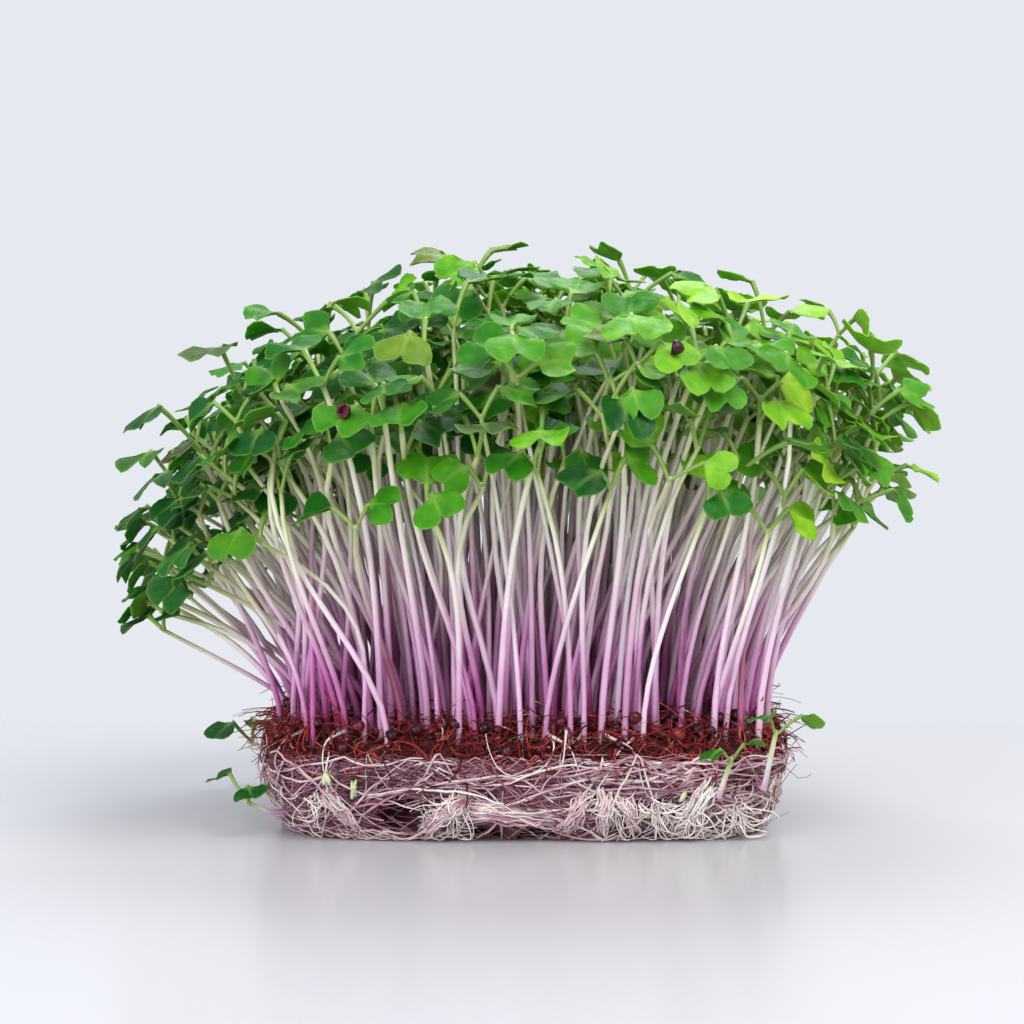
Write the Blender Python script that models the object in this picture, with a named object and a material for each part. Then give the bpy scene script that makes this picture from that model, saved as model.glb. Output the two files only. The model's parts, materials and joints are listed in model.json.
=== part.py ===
# Block of radish microgreens standing on its own root mat.
# Metres, +Z up, the origin is the centre of the mat's flat underside, and -Y is the front.

import math

import bmesh
import bpy
import numpy as np
from mathutils import Matrix
from mathutils.kdtree import KDTree

SEED = 44
MM = 0.001
FLATNESS = 1e-7
SHARP_ANGLE = math.radians(40)

UP = np.array((0.0, 0.0, 1.0))

# Root mat: half sizes of its rim and its foot, its height, and the relief of its sides
MAT_HALF_TOP = (0.0530, 0.0460)
MAT_HALF_FOOT = (0.0475, 0.0405)
MAT_HEIGHT = 0.0145
MAT_LEVELS = (0.0, 0.12, 0.45, 0.85, 1.0)
MAT_POINTS = 40
MAT_SWELL = 0.06
MAT_RELIEF = 0.0009
RELIEF_WAVES = ((9, 5, 0.0, 1.0), (17, -7, 1.0, 0.7))  # turns, climb, start and share
CORNER_POWER = 5.0

# Loose bundles of roots on the sides
BUNDLE_STEPS = 3
BUNDLE_SUNK = 0.0016
BUNDLE_ARCH = 0.7
BUNDLE_TAPER = 0.8
BUNDLES_A_SIDE = 3
BUNDLE_PITCH = 0.024
BUNDLE_SHIFT = 0.006
BUNDLE_LEAN = (0.004, 0.012)
BUNDLE_HEAD = (0.0100, 0.0126)
BUNDLE_FOOT = (0.0018, 0.0040)
BUNDLE_BOW = (0.0012, 0.0026)
BUNDLE_RADIUS = (0.0011, 0.0015)

# Growing medium on the mat
MEDIUM_FOOT = MAT_HEIGHT + 0.0003
MEDIUM_TOP = 0.0196
MEDIUM_HALF = (0.0520, 0.0450)
MEDIUM_POINTS = 36
MEDIUM_BUMP = 0.0005
MEDIUM_BUMP_TURNS = 17
MEDIUM_SWELL = 0.008
MEDIUM_SWELL_TURNS = 13

# Loose seeds, half sunk in the medium
LOOSE_SEEDS = 16
LOOSE_SEED_RADIUS = 0.0014
LOOSE_SEED_ROOM = 0.0036
LOOSE_SEED_RISE = 0.0004
LOOSE_SEED_REACH = (0.2, 0.86)
LOOSE_SEED_LENGTH = (0.95, 1.10)
LOOSE_SEED_WIDTH = (0.85, 1.00)
LOOSE_SEED_HEIGHT = 0.85

# Bunches of seedlings, whose roots share a pocket in the medium
ROWS = 7
COLUMNS = 5
ROW_PITCH = 0.0130
COLUMN_PITCH = 0.0190
ROW_SHIFT = 0.0022
STEMS_A_BUNCH = 3
STEM_PITCH = 0.0066
BUNCH_SHIFT = 0.0010
BUNCH_TURN = math.radians(20)
EDGE_ROW_TURN = 0.35
POCKET_FLOOR = 0.0160
POCKET_WIDTH = 0.0032
POCKET_END = 0.0018
POCKET_OPEN = 0.004
ROOT_Z = 0.0174
ROOT_RADIUS = 0.0014
STRAND_END = 0.0012

# Stems, and the dome that their tips make
STEM_FOOT_Z = MEDIUM_TOP + 0.0010
STEM_RADIUS = 0.00086
STEM_STEPS = 3
LONG_LEAN = 0.016
FORK_RISE = 0.0010
RIDGE_WIDTH = 0.4
BED_HALF = (0.0450, 0.0395)
DOME_HALF = (0.0722, 0.0632)
DOME_EDGE = 1.06
DOME_TOP = 0.1120
MIDDLE_REACH = 0.66
SIDE_DROP = 0.23
SIDE_TILT = 0.075
FRONT_DROP = 0.17
LEAF_DEPTH = 0.034
SIDE_EASE = 0.006
FRONT_EASE = 0.014
DEPTH_POWER = 1.6
LEAN_POWER = 1.6
LEAN_POWER_SPREAD = 0.25
LEAN_JITTER = 0.0045
JITTER_START = 0.8
JITTER_GROWTH = 1 / 150
BOW = 0.0030
BOW_SCALE = 27 / 4

# Seed leaves: ranges of what is drawn for each one, and how far a pair nods outwards
PAIR_SKEW = 0.45
PAIR_SHARES = ((0.95, 1.12), (0.80, 1.02))
STALK_RISE = (0.55, 1.10)
STALK_LENGTH = (0.0060, 0.0110)
LEAF_PITCH = (-0.45, 0.50)
LEAF_ROLL = (-0.35, 0.35)
LEAF_CUP = (-0.15, 0.35)
LEAF_DROOP = (-0.26, 0.04)
LEAF_WAVE = (-0.07, 0.07)
WAVE_TURNS = 5.0
MIDDLE_NOD = 0.10
RIM_NOD = 0.36
LARGEST_FOLD = 1.25

# Blade of a seed leaf
BLADE_SIZE = 0.0094
BLADE_POWER = 0.72
BLADE_SPREAD = 1.17
BLADE_THICKNESS = 0.00072
BLADE_ANGLES = (-75, -50, -23, 0, 23, 50, 75)
BLADE_MIDDLE = 0.40
NOTCH_DEPTH = 0.26
NOTCH_WIDTH = 0.28
STALK_HALF_WIDTH = 0.00052

# Young sprouts that come out of the mat's sides: place and direction of the root, tip, leaf size
SPROUTS = {
    "sprout_front_right": ((0.0455, -0.0370, 0.0106), (0.1, -1.0), (0.0480, -0.0465, 0.0210), 0.55),
    "sprout_front": ((0.0370, -0.0385, 0.0092), (0.05, -1.0), (0.0390, -0.0505, 0.0165), 0.50),
    "sprout_left": ((-0.0440, -0.0290, 0.0040), (-1.0, -0.3), (-0.0545, -0.0340, 0.0062), 0.62),
    "sprout_back_left": ((-0.0450, 0.0270, 0.0060), (-1.0, 0.3), (-0.0630, 0.0360, 0.0100), 0.80),
}
SPROUT_STRAIGHT = 0.0070
SPROUT_SPREAD = 1.20
SPROUT_NOD = 0.25
HOLE_RADIUS = 0.0018
HOLE_REACH = 0.0100
HOLE_BEHIND = 0.0006
HOLE_SIDES = 6

# Room kept between seedlings, tested on points about 3 mm apart
SAMPLE_STEP = 0.0030
BLADE_SAMPLES = (1.0, 0.55)
ROOM = 0.0034
MAX_TRIES = 700


def clear_scene():
    for old in list(bpy.data.objects):
        bpy.data.objects.remove(old, do_unlink=True)


def make_material(name, colour, roughness):
    material = bpy.data.materials.new(name)
    material.use_nodes = True
    shader = material.node_tree.nodes["Principled BSDF"]
    shader.inputs["Base Color"].default_value = (*colour, 1.0)
    shader.inputs["Roughness"].default_value = roughness
    shader.inputs["Metallic"].default_value = 0.0
    return material


def is_flat(face):
    corner = face.verts[0].co
    return all(abs((vert.co - corner).dot(face.normal)) < FLATNESS for vert in face.verts)


def link_mesh(name, shape):
    # The faces are turned outwards, and four-sided ones that are not flat are cut into triangles
    bmesh.ops.recalc_face_normals(shape, faces=shape.faces)
    if shape.calc_volume(signed=True) < 0:
        bmesh.ops.reverse_faces(shape, faces=shape.faces)
    bent = [face for face in shape.faces if len(face.verts) == 4 and not is_flat(face)]
    bmesh.ops.triangulate(shape, faces=bent)
    mesh = bpy.data.meshes.new(name)
    shape.to_mesh(mesh)
    shape.free()
    result = bpy.data.objects.new(name, mesh)
    bpy.context.collection.objects.link(result)
    return result


def mesh_object(name, vertices, faces):
    shape = bmesh.new()
    corners = [shape.verts.new(tuple(vertex)) for vertex in vertices]
    for face in faces:
        shape.faces.new([corners[i] for i in face])
    return link_mesh(name, shape)


def as_cutter(target):
    target.hide_render = True
    target.display_type = "WIRE"
    return target


def combine(base, others, operation):
    # One Boolean on a collection, applied, and the collection's objects removed
    group = bpy.data.collections.new(base.name + "_parts")
    bpy.context.scene.collection.children.link(group)
    for other in others:
        bpy.context.collection.objects.unlink(other)
        group.objects.link(other)
    boolean = base.modifiers.new("combine", "BOOLEAN")
    boolean.operation = operation
    boolean.operand_type = "COLLECTION"
    boolean.collection = group
    boolean.solver = "EXACT"
    graph = bpy.context.evaluated_depsgraph_get()
    mesh = bpy.data.meshes.new_from_object(base.evaluated_get(graph))
    base.modifiers.clear()
    base.data = mesh
    for other in others:
        bpy.data.objects.remove(other, do_unlink=True)
    bpy.data.collections.remove(group)
    return base


def body_of(vert, left):
    # The vertices that hang together with this one, taken out of those that are left
    body = []
    front = [vert]
    left.discard(vert)
    while front:
        vert = front.pop()
        body.append(vert)
        near = {edge.other_vert(vert) for edge in vert.link_edges} & left
        front.extend(near)
        left -= near
    return body


def drop_scraps(target):
    shape = bmesh.new()
    shape.from_mesh(target.data)
    left = set(shape.verts)
    bodies = []
    while left:
        bodies.append(body_of(next(iter(left)), left))
    bodies.sort(key=len)
    scraps = [vert for body in bodies[:-1] for vert in body]
    bmesh.ops.delete(shape, geom=scraps, context="VERTS")
    shape.to_mesh(target.data)
    shape.free()
    return target


def finish(target, material):
    target.data.materials.clear()
    target.data.materials.append(material)
    target.data.shade_smooth()
    target.data.set_sharp_from_angle(angle=SHARP_ANGLE)
    return target


def unit(vector):
    return vector / np.linalg.norm(vector)


def rim_point(angle, half):
    # A point of a rounded rectangle, seen from its centre at this angle
    c = math.cos(angle)
    s = math.sin(angle)
    reach = (abs(c) ** CORNER_POWER + abs(s) ** CORNER_POWER) ** (-1.0 / CORNER_POWER)
    return half[0] * c * reach, half[1] * s * reach


def ring_faces(rings):
    # Closed solid through rings of equal length, with a flat face at each end
    count = len(rings[0])
    last = (len(rings) - 1) * count
    faces = [tuple(range(count)), tuple(range(last, last + count))]
    for level in range(len(rings) - 1):
        for i in range(count):
            a = level * count + i
            b = level * count + (i + 1) % count
            faces.append((a, b, b + count, a + count))
    return faces


def ring_loft(name, rings):
    vertices = [point for ring in rings for point in ring]
    return mesh_object(name, vertices, ring_faces(rings))


def square_rings(path, radii, first_side):
    # Four-sided rings along a path, whose first stretch is straight and whose sides do not turn
    ahead = np.gradient(np.array(path), axis=0)
    ahead[1] = ahead[0]
    rings = []
    for point, direction, radius in zip(path, ahead, radii):
        direction = unit(direction)
        side = unit(first_side - direction * np.dot(first_side, direction))
        up = np.cross(direction, side)
        across = [(1, 1), (-1, 1), (-1, -1), (1, -1)]
        rings.append([point + (side * a + up * b) * radius / math.sqrt(2) for a, b in across])
    return rings


# Root mat

def mat_half(share):
    mix = share + MAT_SWELL * math.sin(math.pi * share)
    return tuple(foot + (top - foot) * mix for foot, top in zip(MAT_HALF_FOOT, MAT_HALF_TOP))


def mat_relief(angle, share):
    # Bundles of roots swell and sink along the sides, and the foot and the rim stay plain
    waves = sum(part * math.sin(turns * angle + climb * share + start)
                for turns, climb, start, part in RELIEF_WAVES)
    return MAT_RELIEF * math.sin(math.pi * share) * waves


def mat_body():
    rings = []
    for share in MAT_LEVELS:
        ring = []
        for i in range(MAT_POINTS):
            angle = 2 * math.pi * (i + 0.5) / MAT_POINTS
            x, y = rim_point(angle, mat_half(share))
            grow = mat_relief(angle, share)
            ring.append((x + grow * math.cos(angle), y + grow * math.sin(angle), share * MAT_HEIGHT))
        rings.append(ring)
    return ring_loft("root_mat", rings)


# Hollows along the foot: middle and half size, in mm
FOOT_HOLLOWS = (
    ((-24.0, -41.0, 5.2), (5.0, 8.0, 4.2)),
    ((-9.0, -40.5, 0.0), (5.4, 8.0, 2.4)),
    ((3.0, -40.5, 0.0), (4.6, 9.0, 2.6)),
    ((24.0, -40.5, 0.0), (4.2, 7.0, 2.0)),
    ((-28.0, 40.5, 0.0), (5.5, 8.0, 2.8)),
    ((7.0, 40.5, 0.0), (5.0, 9.0, 3.2)),
    ((-47.5, 8.0, 0.0), (7.0, 5.0, 2.8)),
    ((47.5, -14.0, 0.0), (8.0, 5.2, 3.0)),
)


def foot_hollow(middle, half):
    shape = bmesh.new()
    bmesh.ops.create_icosphere(shape, subdivisions=1, radius=MM)
    shape.transform(Matrix.Translation([MM * m for m in middle]) @ Matrix.Diagonal((*half, 1.0)))
    return as_cutter(link_mesh("hollow", shape))


def sprout_hole(start, out):
    shape = bmesh.new()
    bmesh.ops.create_cone(shape, cap_ends=True, segments=HOLE_SIDES, radius1=HOLE_RADIUS,
                          radius2=HOLE_RADIUS, depth=HOLE_REACH)
    lying = Matrix.Rotation(math.radians(90), 4, "Y")
    turned = Matrix.Rotation(math.atan2(out[1], out[0]), 4, "Z")
    ahead = HOLE_REACH / 2 - HOLE_BEHIND
    place = Matrix.Translation((start[0] + out[0] * ahead, start[1] + out[1] * ahead, start[2]))
    shape.transform(place @ turned @ lying)
    return as_cutter(link_mesh("hole", shape))


# Loose bundles on the front: x and height of both ends, bow outwards and radius, in mm
FRONT_BUNDLES = (
    (36.5, 13.0, 29.5, 1.6, 2.6, 1.6),
    (48.0, 12.4, 47.5, 2.0, 1.4, 1.2),
    (12.0, 9.6, 7.5, 1.2, 2.6, 1.1),
    (15.5, 10.6, 15.5, 1.2, 3.2, 1.3),
    (18.5, 9.8, 22.0, 1.4, 2.6, 1.1),
    (-20.5, 1.4, -11.0, 10.0, 3.0, 1.3),
    (-15.5, 7.0, 8.0, 4.8, 1.8, 1.5),
    (-40.0, 11.6, -32.5, 1.6, 1.8, 1.3),
)


def side_point(x, z, proud):
    # A point on the front side of the mat, or a little in front of it
    half = mat_half(z / MAT_HEIGHT)
    reach = (1.0 - abs(x / half[0]) ** CORNER_POWER) ** (1.0 / CORNER_POWER)
    return np.array((x, -half[1] * reach - proud, z))


def turned_to_side(point, quarter):
    # The front is side 0, and the right side, the back and the left side follow
    x, y, z = point
    for _ in range(quarter):
        x, y = -y, x
    if quarter % 2 == 1:
        x *= MAT_HALF_TOP[0] / MAT_HALF_TOP[1]
        y *= MAT_HALF_TOP[1] / MAT_HALF_TOP[0]
    return np.array((x, y, z))


def root_bundle(start, end, bow, radius, quarter=0):
    path = []
    for i in range(BUNDLE_STEPS + 1):
        t = i / BUNDLE_STEPS
        proud = (bow + BUNDLE_SUNK) * math.sin(math.pi * t) ** BUNDLE_ARCH - BUNDLE_SUNK
        x = start[0] + (end[0] - start[0]) * t
        z = start[1] + (end[1] - start[1]) * t
        path.append(turned_to_side(side_point(x, z, proud), quarter))
    radii = [radius] * (BUNDLE_STEPS + 1)
    radii[0] = radii[-1] = radius * BUNDLE_TAPER
    crosswise = np.cross(path[-1] - path[0], path[1] - path[0])
    return ring_loft("bundle", square_rings(path, radii, crosswise))


def front_bundles():
    bundles = []
    for row in FRONT_BUNDLES:
        x0, z0, x1, z1, bow, radius = (MM * value for value in row)
        bundles.append(root_bundle((x0, z0), (x1, z1), bow, radius))
    return bundles


def other_bundles(rng):
    # The same bundles go round the other three sides, by a seeded rule
    bundles = []
    for quarter in (1, 2, 3):
        for i in range(BUNDLES_A_SIDE):
            x0 = (i - 1) * BUNDLE_PITCH + rng.uniform(-BUNDLE_SHIFT, BUNDLE_SHIFT)
            x1 = x0 + rng.choice((-1, 1)) * rng.uniform(*BUNDLE_LEAN)
            start = (x0, rng.uniform(*BUNDLE_HEAD))
            end = (x1, rng.uniform(*BUNDLE_FOOT))
            bow = rng.uniform(*BUNDLE_BOW)
            bundles.append(root_bundle(start, end, bow, rng.uniform(*BUNDLE_RADIUS), quarter))
    return bundles


def build_root_mat(material, rng):
    body = mat_body()
    combine(body, front_bundles() + other_bundles(rng), "UNION")
    cutters = [foot_hollow(middle, half) for middle, half in FOOT_HOLLOWS]
    cutters += [sprout_hole(start, out) for start, out, tip, size in SPROUTS.values()]
    combine(body, cutters, "DIFFERENCE")
    return finish(drop_scraps(body), material)


# Growing medium

def medium_body():
    # Each level has a height, a share of the medium's size and a share of its bumps
    levels = (
        (MEDIUM_FOOT, 0.975, 0.0),
        (MEDIUM_FOOT + 0.0018, 1.0, 0.6),
        (MEDIUM_TOP - 0.0010, 0.985, 1.0),
        (MEDIUM_TOP, 0.945, 0.0),
    )
    rings = []
    for z, size, bump in levels:
        half = (MEDIUM_HALF[0] * size, MEDIUM_HALF[1] * size)
        ring = []
        for i in range(MEDIUM_POINTS):
            angle = 2 * math.pi * i / MEDIUM_POINTS
            x, y = rim_point(angle, half)
            lift = MEDIUM_BUMP * bump * math.sin(MEDIUM_BUMP_TURNS * angle + 1.0)
            grow = 1.0 + MEDIUM_SWELL * bump * math.sin(MEDIUM_SWELL_TURNS * angle)
            ring.append((x * grow, y * grow, z + lift))
        rings.append(ring)
    return ring_loft("growing_medium", rings)


def pocket_cutter(bunch):
    height = MEDIUM_TOP + POCKET_OPEN - POCKET_FLOOR
    length = bunch["span"] + 2 * POCKET_END
    centre = bunch["centre"]
    shape = bmesh.new()
    bmesh.ops.create_cube(shape, size=1.0)
    place = Matrix.Translation((centre[0], centre[1], POCKET_FLOOR + height / 2))
    turned = Matrix.Rotation(bunch["turn"], 4, "Z")
    shape.transform(place @ turned @ Matrix.Diagonal((length, POCKET_WIDTH, height, 1.0)))
    return as_cutter(link_mesh("pocket", shape))


def loose_seed_places(bunches, rng):
    # Loose seeds lie where no pocket is
    taken = []
    for bunch in bunches:
        bases = bunch["bases"]
        taken += bases + [(a + b) / 2 for a, b in zip(bases, bases[1:])]
    places = []
    while len(places) < LOOSE_SEEDS:
        x, y = rim_point(rng.uniform(0, 2 * math.pi), MEDIUM_HALF)
        place = np.array((x, y)) * math.sqrt(rng.uniform(*LOOSE_SEED_REACH))
        if min(np.linalg.norm(place - other) for other in taken + places) > LOOSE_SEED_ROOM:
            places.append(place)
    return places


def loose_seed(place, rng):
    shape = bmesh.new()
    bmesh.ops.create_icosphere(shape, subdivisions=1, radius=LOOSE_SEED_RADIUS)
    length = rng.uniform(*LOOSE_SEED_LENGTH)
    scale = Matrix.Diagonal((length, rng.uniform(*LOOSE_SEED_WIDTH), LOOSE_SEED_HEIGHT, 1.0))
    move = Matrix.Translation((place[0], place[1], MEDIUM_TOP + LOOSE_SEED_RISE))
    shape.transform(move @ Matrix.Rotation(rng.uniform(0, math.pi), 4, "Z") @ scale)
    return link_mesh("loose_seed", shape)


def build_medium(bunches, material, rng):
    body = medium_body()
    seeds = [loose_seed(place, rng) for place in loose_seed_places(bunches, rng)]
    combine(body, seeds, "UNION")
    combine(body, [pocket_cutter(bunch) for bunch in bunches], "DIFFERENCE")
    return finish(drop_scraps(body), material)


# Layout of the bed

def bunch_layout(rng):
    bunches = []
    for row in range(ROWS):
        for column in range(COLUMNS):
            x = (column - (COLUMNS - 1) / 2) * COLUMN_PITCH + ROW_SHIFT * (-1) ** row
            y = (row - (ROWS - 1) / 2) * ROW_PITCH
            centre = np.array((x, y)) + rng.uniform(-BUNCH_SHIFT, BUNCH_SHIFT, 2)
            turn = rng.uniform(-BUNCH_TURN, BUNCH_TURN)
            if row in (0, ROWS - 1):
                turn *= EDGE_ROW_TURN
            along = np.array((math.cos(turn), math.sin(turn)))
            steps = [(k - (STEMS_A_BUNCH - 1) / 2) * STEM_PITCH for k in range(STEMS_A_BUNCH)]
            bunches.append({
                "centre": centre,
                "turn": turn,
                "along": along,
                "span": STEM_PITCH * (STEMS_A_BUNCH - 1),
                "bases": [centre + along * step for step in steps],
                "seedlings": [],
            })
    return bunches


# One seedling: its stem's curve and its two seed leaves, from a few drawn values

def draw_seedling(base, rng, looseness):
    spot = base / np.array(BED_HALF)
    rimward = min(1.0, np.linalg.norm(spot))
    reach = MIDDLE_REACH + (1.0 - MIDDLE_REACH) * rimward
    tip = spot * reach * np.array(DOME_HALF) + rng.normal(0.0, LEAN_JITTER * looseness, 2)
    tip *= min(1.0, DOME_EDGE / np.linalg.norm(tip / np.array(DOME_HALF)))
    across, along = tip / np.array(DOME_HALF)
    deepest = LEAF_DEPTH - SIDE_EASE * across ** 2 - FRONT_EASE * along ** 2
    depth = deepest * rng.uniform() ** DEPTH_POWER
    drop = (SIDE_DROP - SIDE_TILT * across) * across ** 2 + FRONT_DROP * along ** 2
    outward = math.atan2(tip[1], tip[0])
    return {
        "base": np.array((base[0], base[1], STEM_FOOT_Z)),
        "tip": np.array((tip[0], tip[1], DOME_TOP * (1.0 - drop) - depth)),
        "power": LEAN_POWER + rng.uniform(-LEAN_POWER_SPREAD, LEAN_POWER_SPREAD),
        "bow": np.clip(rng.normal(0.0, BOW, 2), -2 * BOW, 2 * BOW),
        "leaves": draw_bed_leaves(rng, outward, MIDDLE_NOD + RIM_NOD * rimward),
    }


def draw_bed_leaves(rng, outward, nod):
    # Two leaves about opposite each other, whose upper faces turn outwards with their stem
    first = rng.uniform(0, 2 * math.pi)
    azimuths = (first, first + math.pi + rng.uniform(-PAIR_SKEW, PAIR_SKEW))
    tilts = [(nod * math.cos(azimuth - outward), nod * math.sin(azimuth - outward)) for azimuth in azimuths]
    return draw_leaves(rng, azimuths, tilts, 1.0)


def draw_leaves(rng, azimuths, tilts, size):
    # Each leaf's tilt is how far it nods along its own direction, and how far it rolls
    leaves = []
    for azimuth, (nod, roll), shares in zip(azimuths, tilts, PAIR_SHARES):
        rise = rng.uniform(*STALK_RISE) - nod / 2
        pitch = rng.uniform(*LEAF_PITCH) - nod
        leaves.append({
            "azimuth": azimuth,
            "size": BLADE_SIZE * rng.uniform(*shares) * size,
            "rise": rise,
            "length": rng.uniform(*STALK_LENGTH) * size,
            "pitch": max(pitch, rise - LARGEST_FOLD),
            "roll": rng.uniform(*LEAF_ROLL) + roll,
            "cup": rng.uniform(*LEAF_CUP),
            "droop": rng.uniform(*LEAF_DROOP),
            "wave": rng.uniform(*LEAF_WAVE),
        })
    return leaves


def stem_curve(seedling, t):
    # The lean grows towards the tip, and the bow is widest at two thirds of the height
    base = seedling["base"]
    t = t[:, None]
    across = (seedling["tip"] - base) * (1.0 - UP)
    rise = (seedling["tip"] - base) * UP
    bow = np.append(seedling["bow"], 0.0)
    return base + across * t ** seedling["power"] + rise * t + bow * BOW_SCALE * t * t * (1.0 - t)


def stem_points(seedling):
    # Straight up out of its pocket, and then along the curve
    lean = np.linalg.norm((seedling["tip"] - seedling["base"])[:2])
    steps = STEM_STEPS + (1 if lean > LONG_LEAN else 0)
    curve = stem_curve(seedling, np.linspace(0.0, 1.0, steps + 1))
    root = np.array((curve[0][0], curve[0][1], ROOT_Z))
    return [root] + list(curve)


def level_axis(azimuth):
    return np.array((math.cos(azimuth), math.sin(azimuth), 0.0))


def blade_axes(leaf):
    # Outward, sideways and upward axes of the blade
    flat = level_axis(leaf["azimuth"])
    outward = flat * math.cos(leaf["pitch"]) + UP * math.sin(leaf["pitch"])
    level = level_axis(leaf["azimuth"] + math.pi / 2)
    side = level * math.cos(leaf["roll"]) + np.cross(outward, level) * math.sin(leaf["roll"])
    return outward, side, np.cross(outward, side)


def blade_start(leaf, fork):
    # The stalk runs from the fork up and out to the blade
    run = level_axis(leaf["azimuth"]) * math.cos(leaf["rise"])
    return fork + (run + UP * math.sin(leaf["rise"])) * leaf["length"]


def blade_outline():
    # Heart-shaped, narrow at its stalk and notched at its tip, in shares of the blade's size
    points = []
    for degrees in BLADE_ANGLES:
        angle = math.radians(degrees)
        notch = 1.0 - NOTCH_DEPTH * math.exp(-((angle / NOTCH_WIDTH) ** 2))
        reach = math.cos(angle) ** BLADE_POWER * notch
        points.append((reach * math.cos(angle), reach * math.sin(angle) * BLADE_SPREAD))
    return points


def blade_point(leaf, start, u, v, lift=0.0):
    # Cupped across, drooping along and a little waved
    outward, side, normal = blade_axes(leaf)
    height = leaf["cup"] * v * v + leaf["droop"] * u * u + leaf["wave"] * math.sin(WAVE_TURNS * v)
    return start + (outward * u + side * v + normal * height) * leaf["size"] + normal * lift


def blade_faces(count):
    # Both faces are fans with the same triangles, and the base edge is left open for the stalk
    low = count + 1
    faces = []
    for i in range(count):
        j = (i + 1) % count
        faces += [(i, j, count), (low + j, low + i, low + count)]
        if j > 0:
            faces += [(j, i, low + i), (j, low + i, low + j)]
    return faces


def stalk_faces(ring, edge):
    return [(ring[k], ring[(k + 1) % 4], edge[(k + 1) % 4], edge[k]) for k in range(4)]


def add_leaf(leaf, fork, ring, vertices, faces):
    # The stalk joins the fork's ring to the blade's base edge, lower side to lower side
    start = blade_start(leaf, fork)
    neck = STALK_HALF_WIDTH / leaf["size"]
    outline = [(0.0, -neck)] + blade_outline() + [(0.0, neck)]
    middle = (BLADE_MIDDLE, 0.0)
    first = len(vertices)
    for lift in (BLADE_THICKNESS / 2, -BLADE_THICKNESS / 2):
        vertices += [blade_point(leaf, start, u, v, lift) for u, v in outline + [middle]]
    count = len(outline)
    faces += [tuple(first + i for i in face) for face in blade_faces(count)]
    low = first + count + 1
    edge = [low, low + count - 1, first + count - 1, first]
    side = blade_axes(leaf)[1]
    if np.dot(vertices[ring[1]] - vertices[ring[0]], side) < 0:
        ring = [ring[1], ring[0], ring[3], ring[2]]
    faces += stalk_faces(ring, edge)


def grow_seedling(name, points, leaves):
    # A square stem whose end splits along a ridge into two stalks
    fork_axis = level_axis(leaves[0]["azimuth"]) - level_axis(leaves[1]["azimuth"])
    radii = [STEM_RADIUS] * len(points)
    rings = square_rings(points, radii, fork_axis)
    vertices = [point for ring in rings for point in ring]
    faces = [face for face in ring_faces(rings) if len(set(face)) == 4]
    faces.pop(1)
    top = len(vertices) - 4
    fork = points[-1] + unit(points[-1] - points[-2]) * FORK_RISE
    across = (rings[-1][0] - rings[-1][3]) * RIDGE_WIDTH
    vertices += [fork + across, fork - across]
    ridge = (top + 4, top + 5)
    faces += [(top, top + 1, ridge[0]), (top + 2, top + 3, ridge[1])]
    add_leaf(leaves[0], fork, [top + 3, top, ridge[0], ridge[1]], vertices, faces)
    add_leaf(leaves[1], fork, [top + 1, top + 2, ridge[1], ridge[0]], vertices, faces)
    return mesh_object(name, vertices, faces)


# Room between seedlings

def seedling_samples(points, leaves):
    samples = []
    for a, b in zip(points[1:], points[2:]):
        steps = max(1, math.ceil(np.linalg.norm(b - a) / SAMPLE_STEP))
        samples += [a + (b - a) * (k + 1) / steps for k in range(steps)]
    fork = points[-1]
    for leaf in leaves:
        start = blade_start(leaf, fork)
        steps = max(2, math.ceil(leaf["length"] / SAMPLE_STEP))
        samples += [fork + (start - fork) * k / steps for k in range(1, steps)]
        outline = blade_outline()
        for share in BLADE_SAMPLES:
            samples += [blade_point(leaf, start, u * share, v * share) for u, v in outline]
        samples += [blade_point(leaf, start, u, 0.0) for u in (0.0, BLADE_MIDDLE)]
    return samples


def tree_of(points):
    tree = KDTree(len(points))
    for i, point in enumerate(points):
        tree.insert(point, i)
    tree.balance()
    return tree


def grow_bed(bunches, sprouts, rng):
    # Each seedling is drawn again, more loosely, until it clears all that stand already
    filled = [sample for sprout in sprouts.values() for sample in seedling_samples(*sprout)]
    order = [(bunch, k) for bunch in bunches for k in range(STEMS_A_BUNCH)]
    for i in rng.permutation(len(order)):
        bunch, k = order[i]
        tree = tree_of(filled)
        for attempt in range(MAX_TRIES):
            looseness = JITTER_START + JITTER_GROWTH * attempt
            seedling = draw_seedling(bunch["bases"][k], rng, looseness)
            samples = seedling_samples(stem_points(seedling), seedling["leaves"])
            if all(tree.find(sample)[2] > ROOM for sample in samples):
                bunch["seedlings"].append(seedling)
                filled += samples
                break


def draw_sprouts(rng):
    # Out of the mat's side, and then on to the tip
    sprouts = {}
    for name, (start, out, tip, size) in SPROUTS.items():
        start = np.array(start)
        out = unit(np.array((*out, 0.0)))
        points = [start, start + out * SPROUT_STRAIGHT, np.array(tip)]
        last = points[2] - points[1]
        outward = math.atan2(last[1], last[0])
        azimuths = (outward + SPROUT_SPREAD, outward - SPROUT_SPREAD)
        tilts = ((SPROUT_NOD, 0.0), (SPROUT_NOD, 0.0))
        sprouts[name] = (points, draw_leaves(rng, azimuths, tilts, size))
    return sprouts


def root_strand(name, bunch):
    reach = bunch["along"] * (bunch["span"] / 2 + STRAND_END)
    ends = [bunch["centre"] - reach, bunch["centre"] + reach]
    path = [np.append(end, ROOT_Z) for end in ends]
    return ring_loft(name, square_rings(path, [ROOT_RADIUS] * 2, UP))


def build_bunch(name, bunch, material):
    strand = root_strand(name, bunch)
    stems = [grow_seedling("stem", stem_points(s), s["leaves"]) for s in bunch["seedlings"]]
    combine(strand, stems, "UNION")
    return finish(drop_scraps(strand), material)


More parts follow.
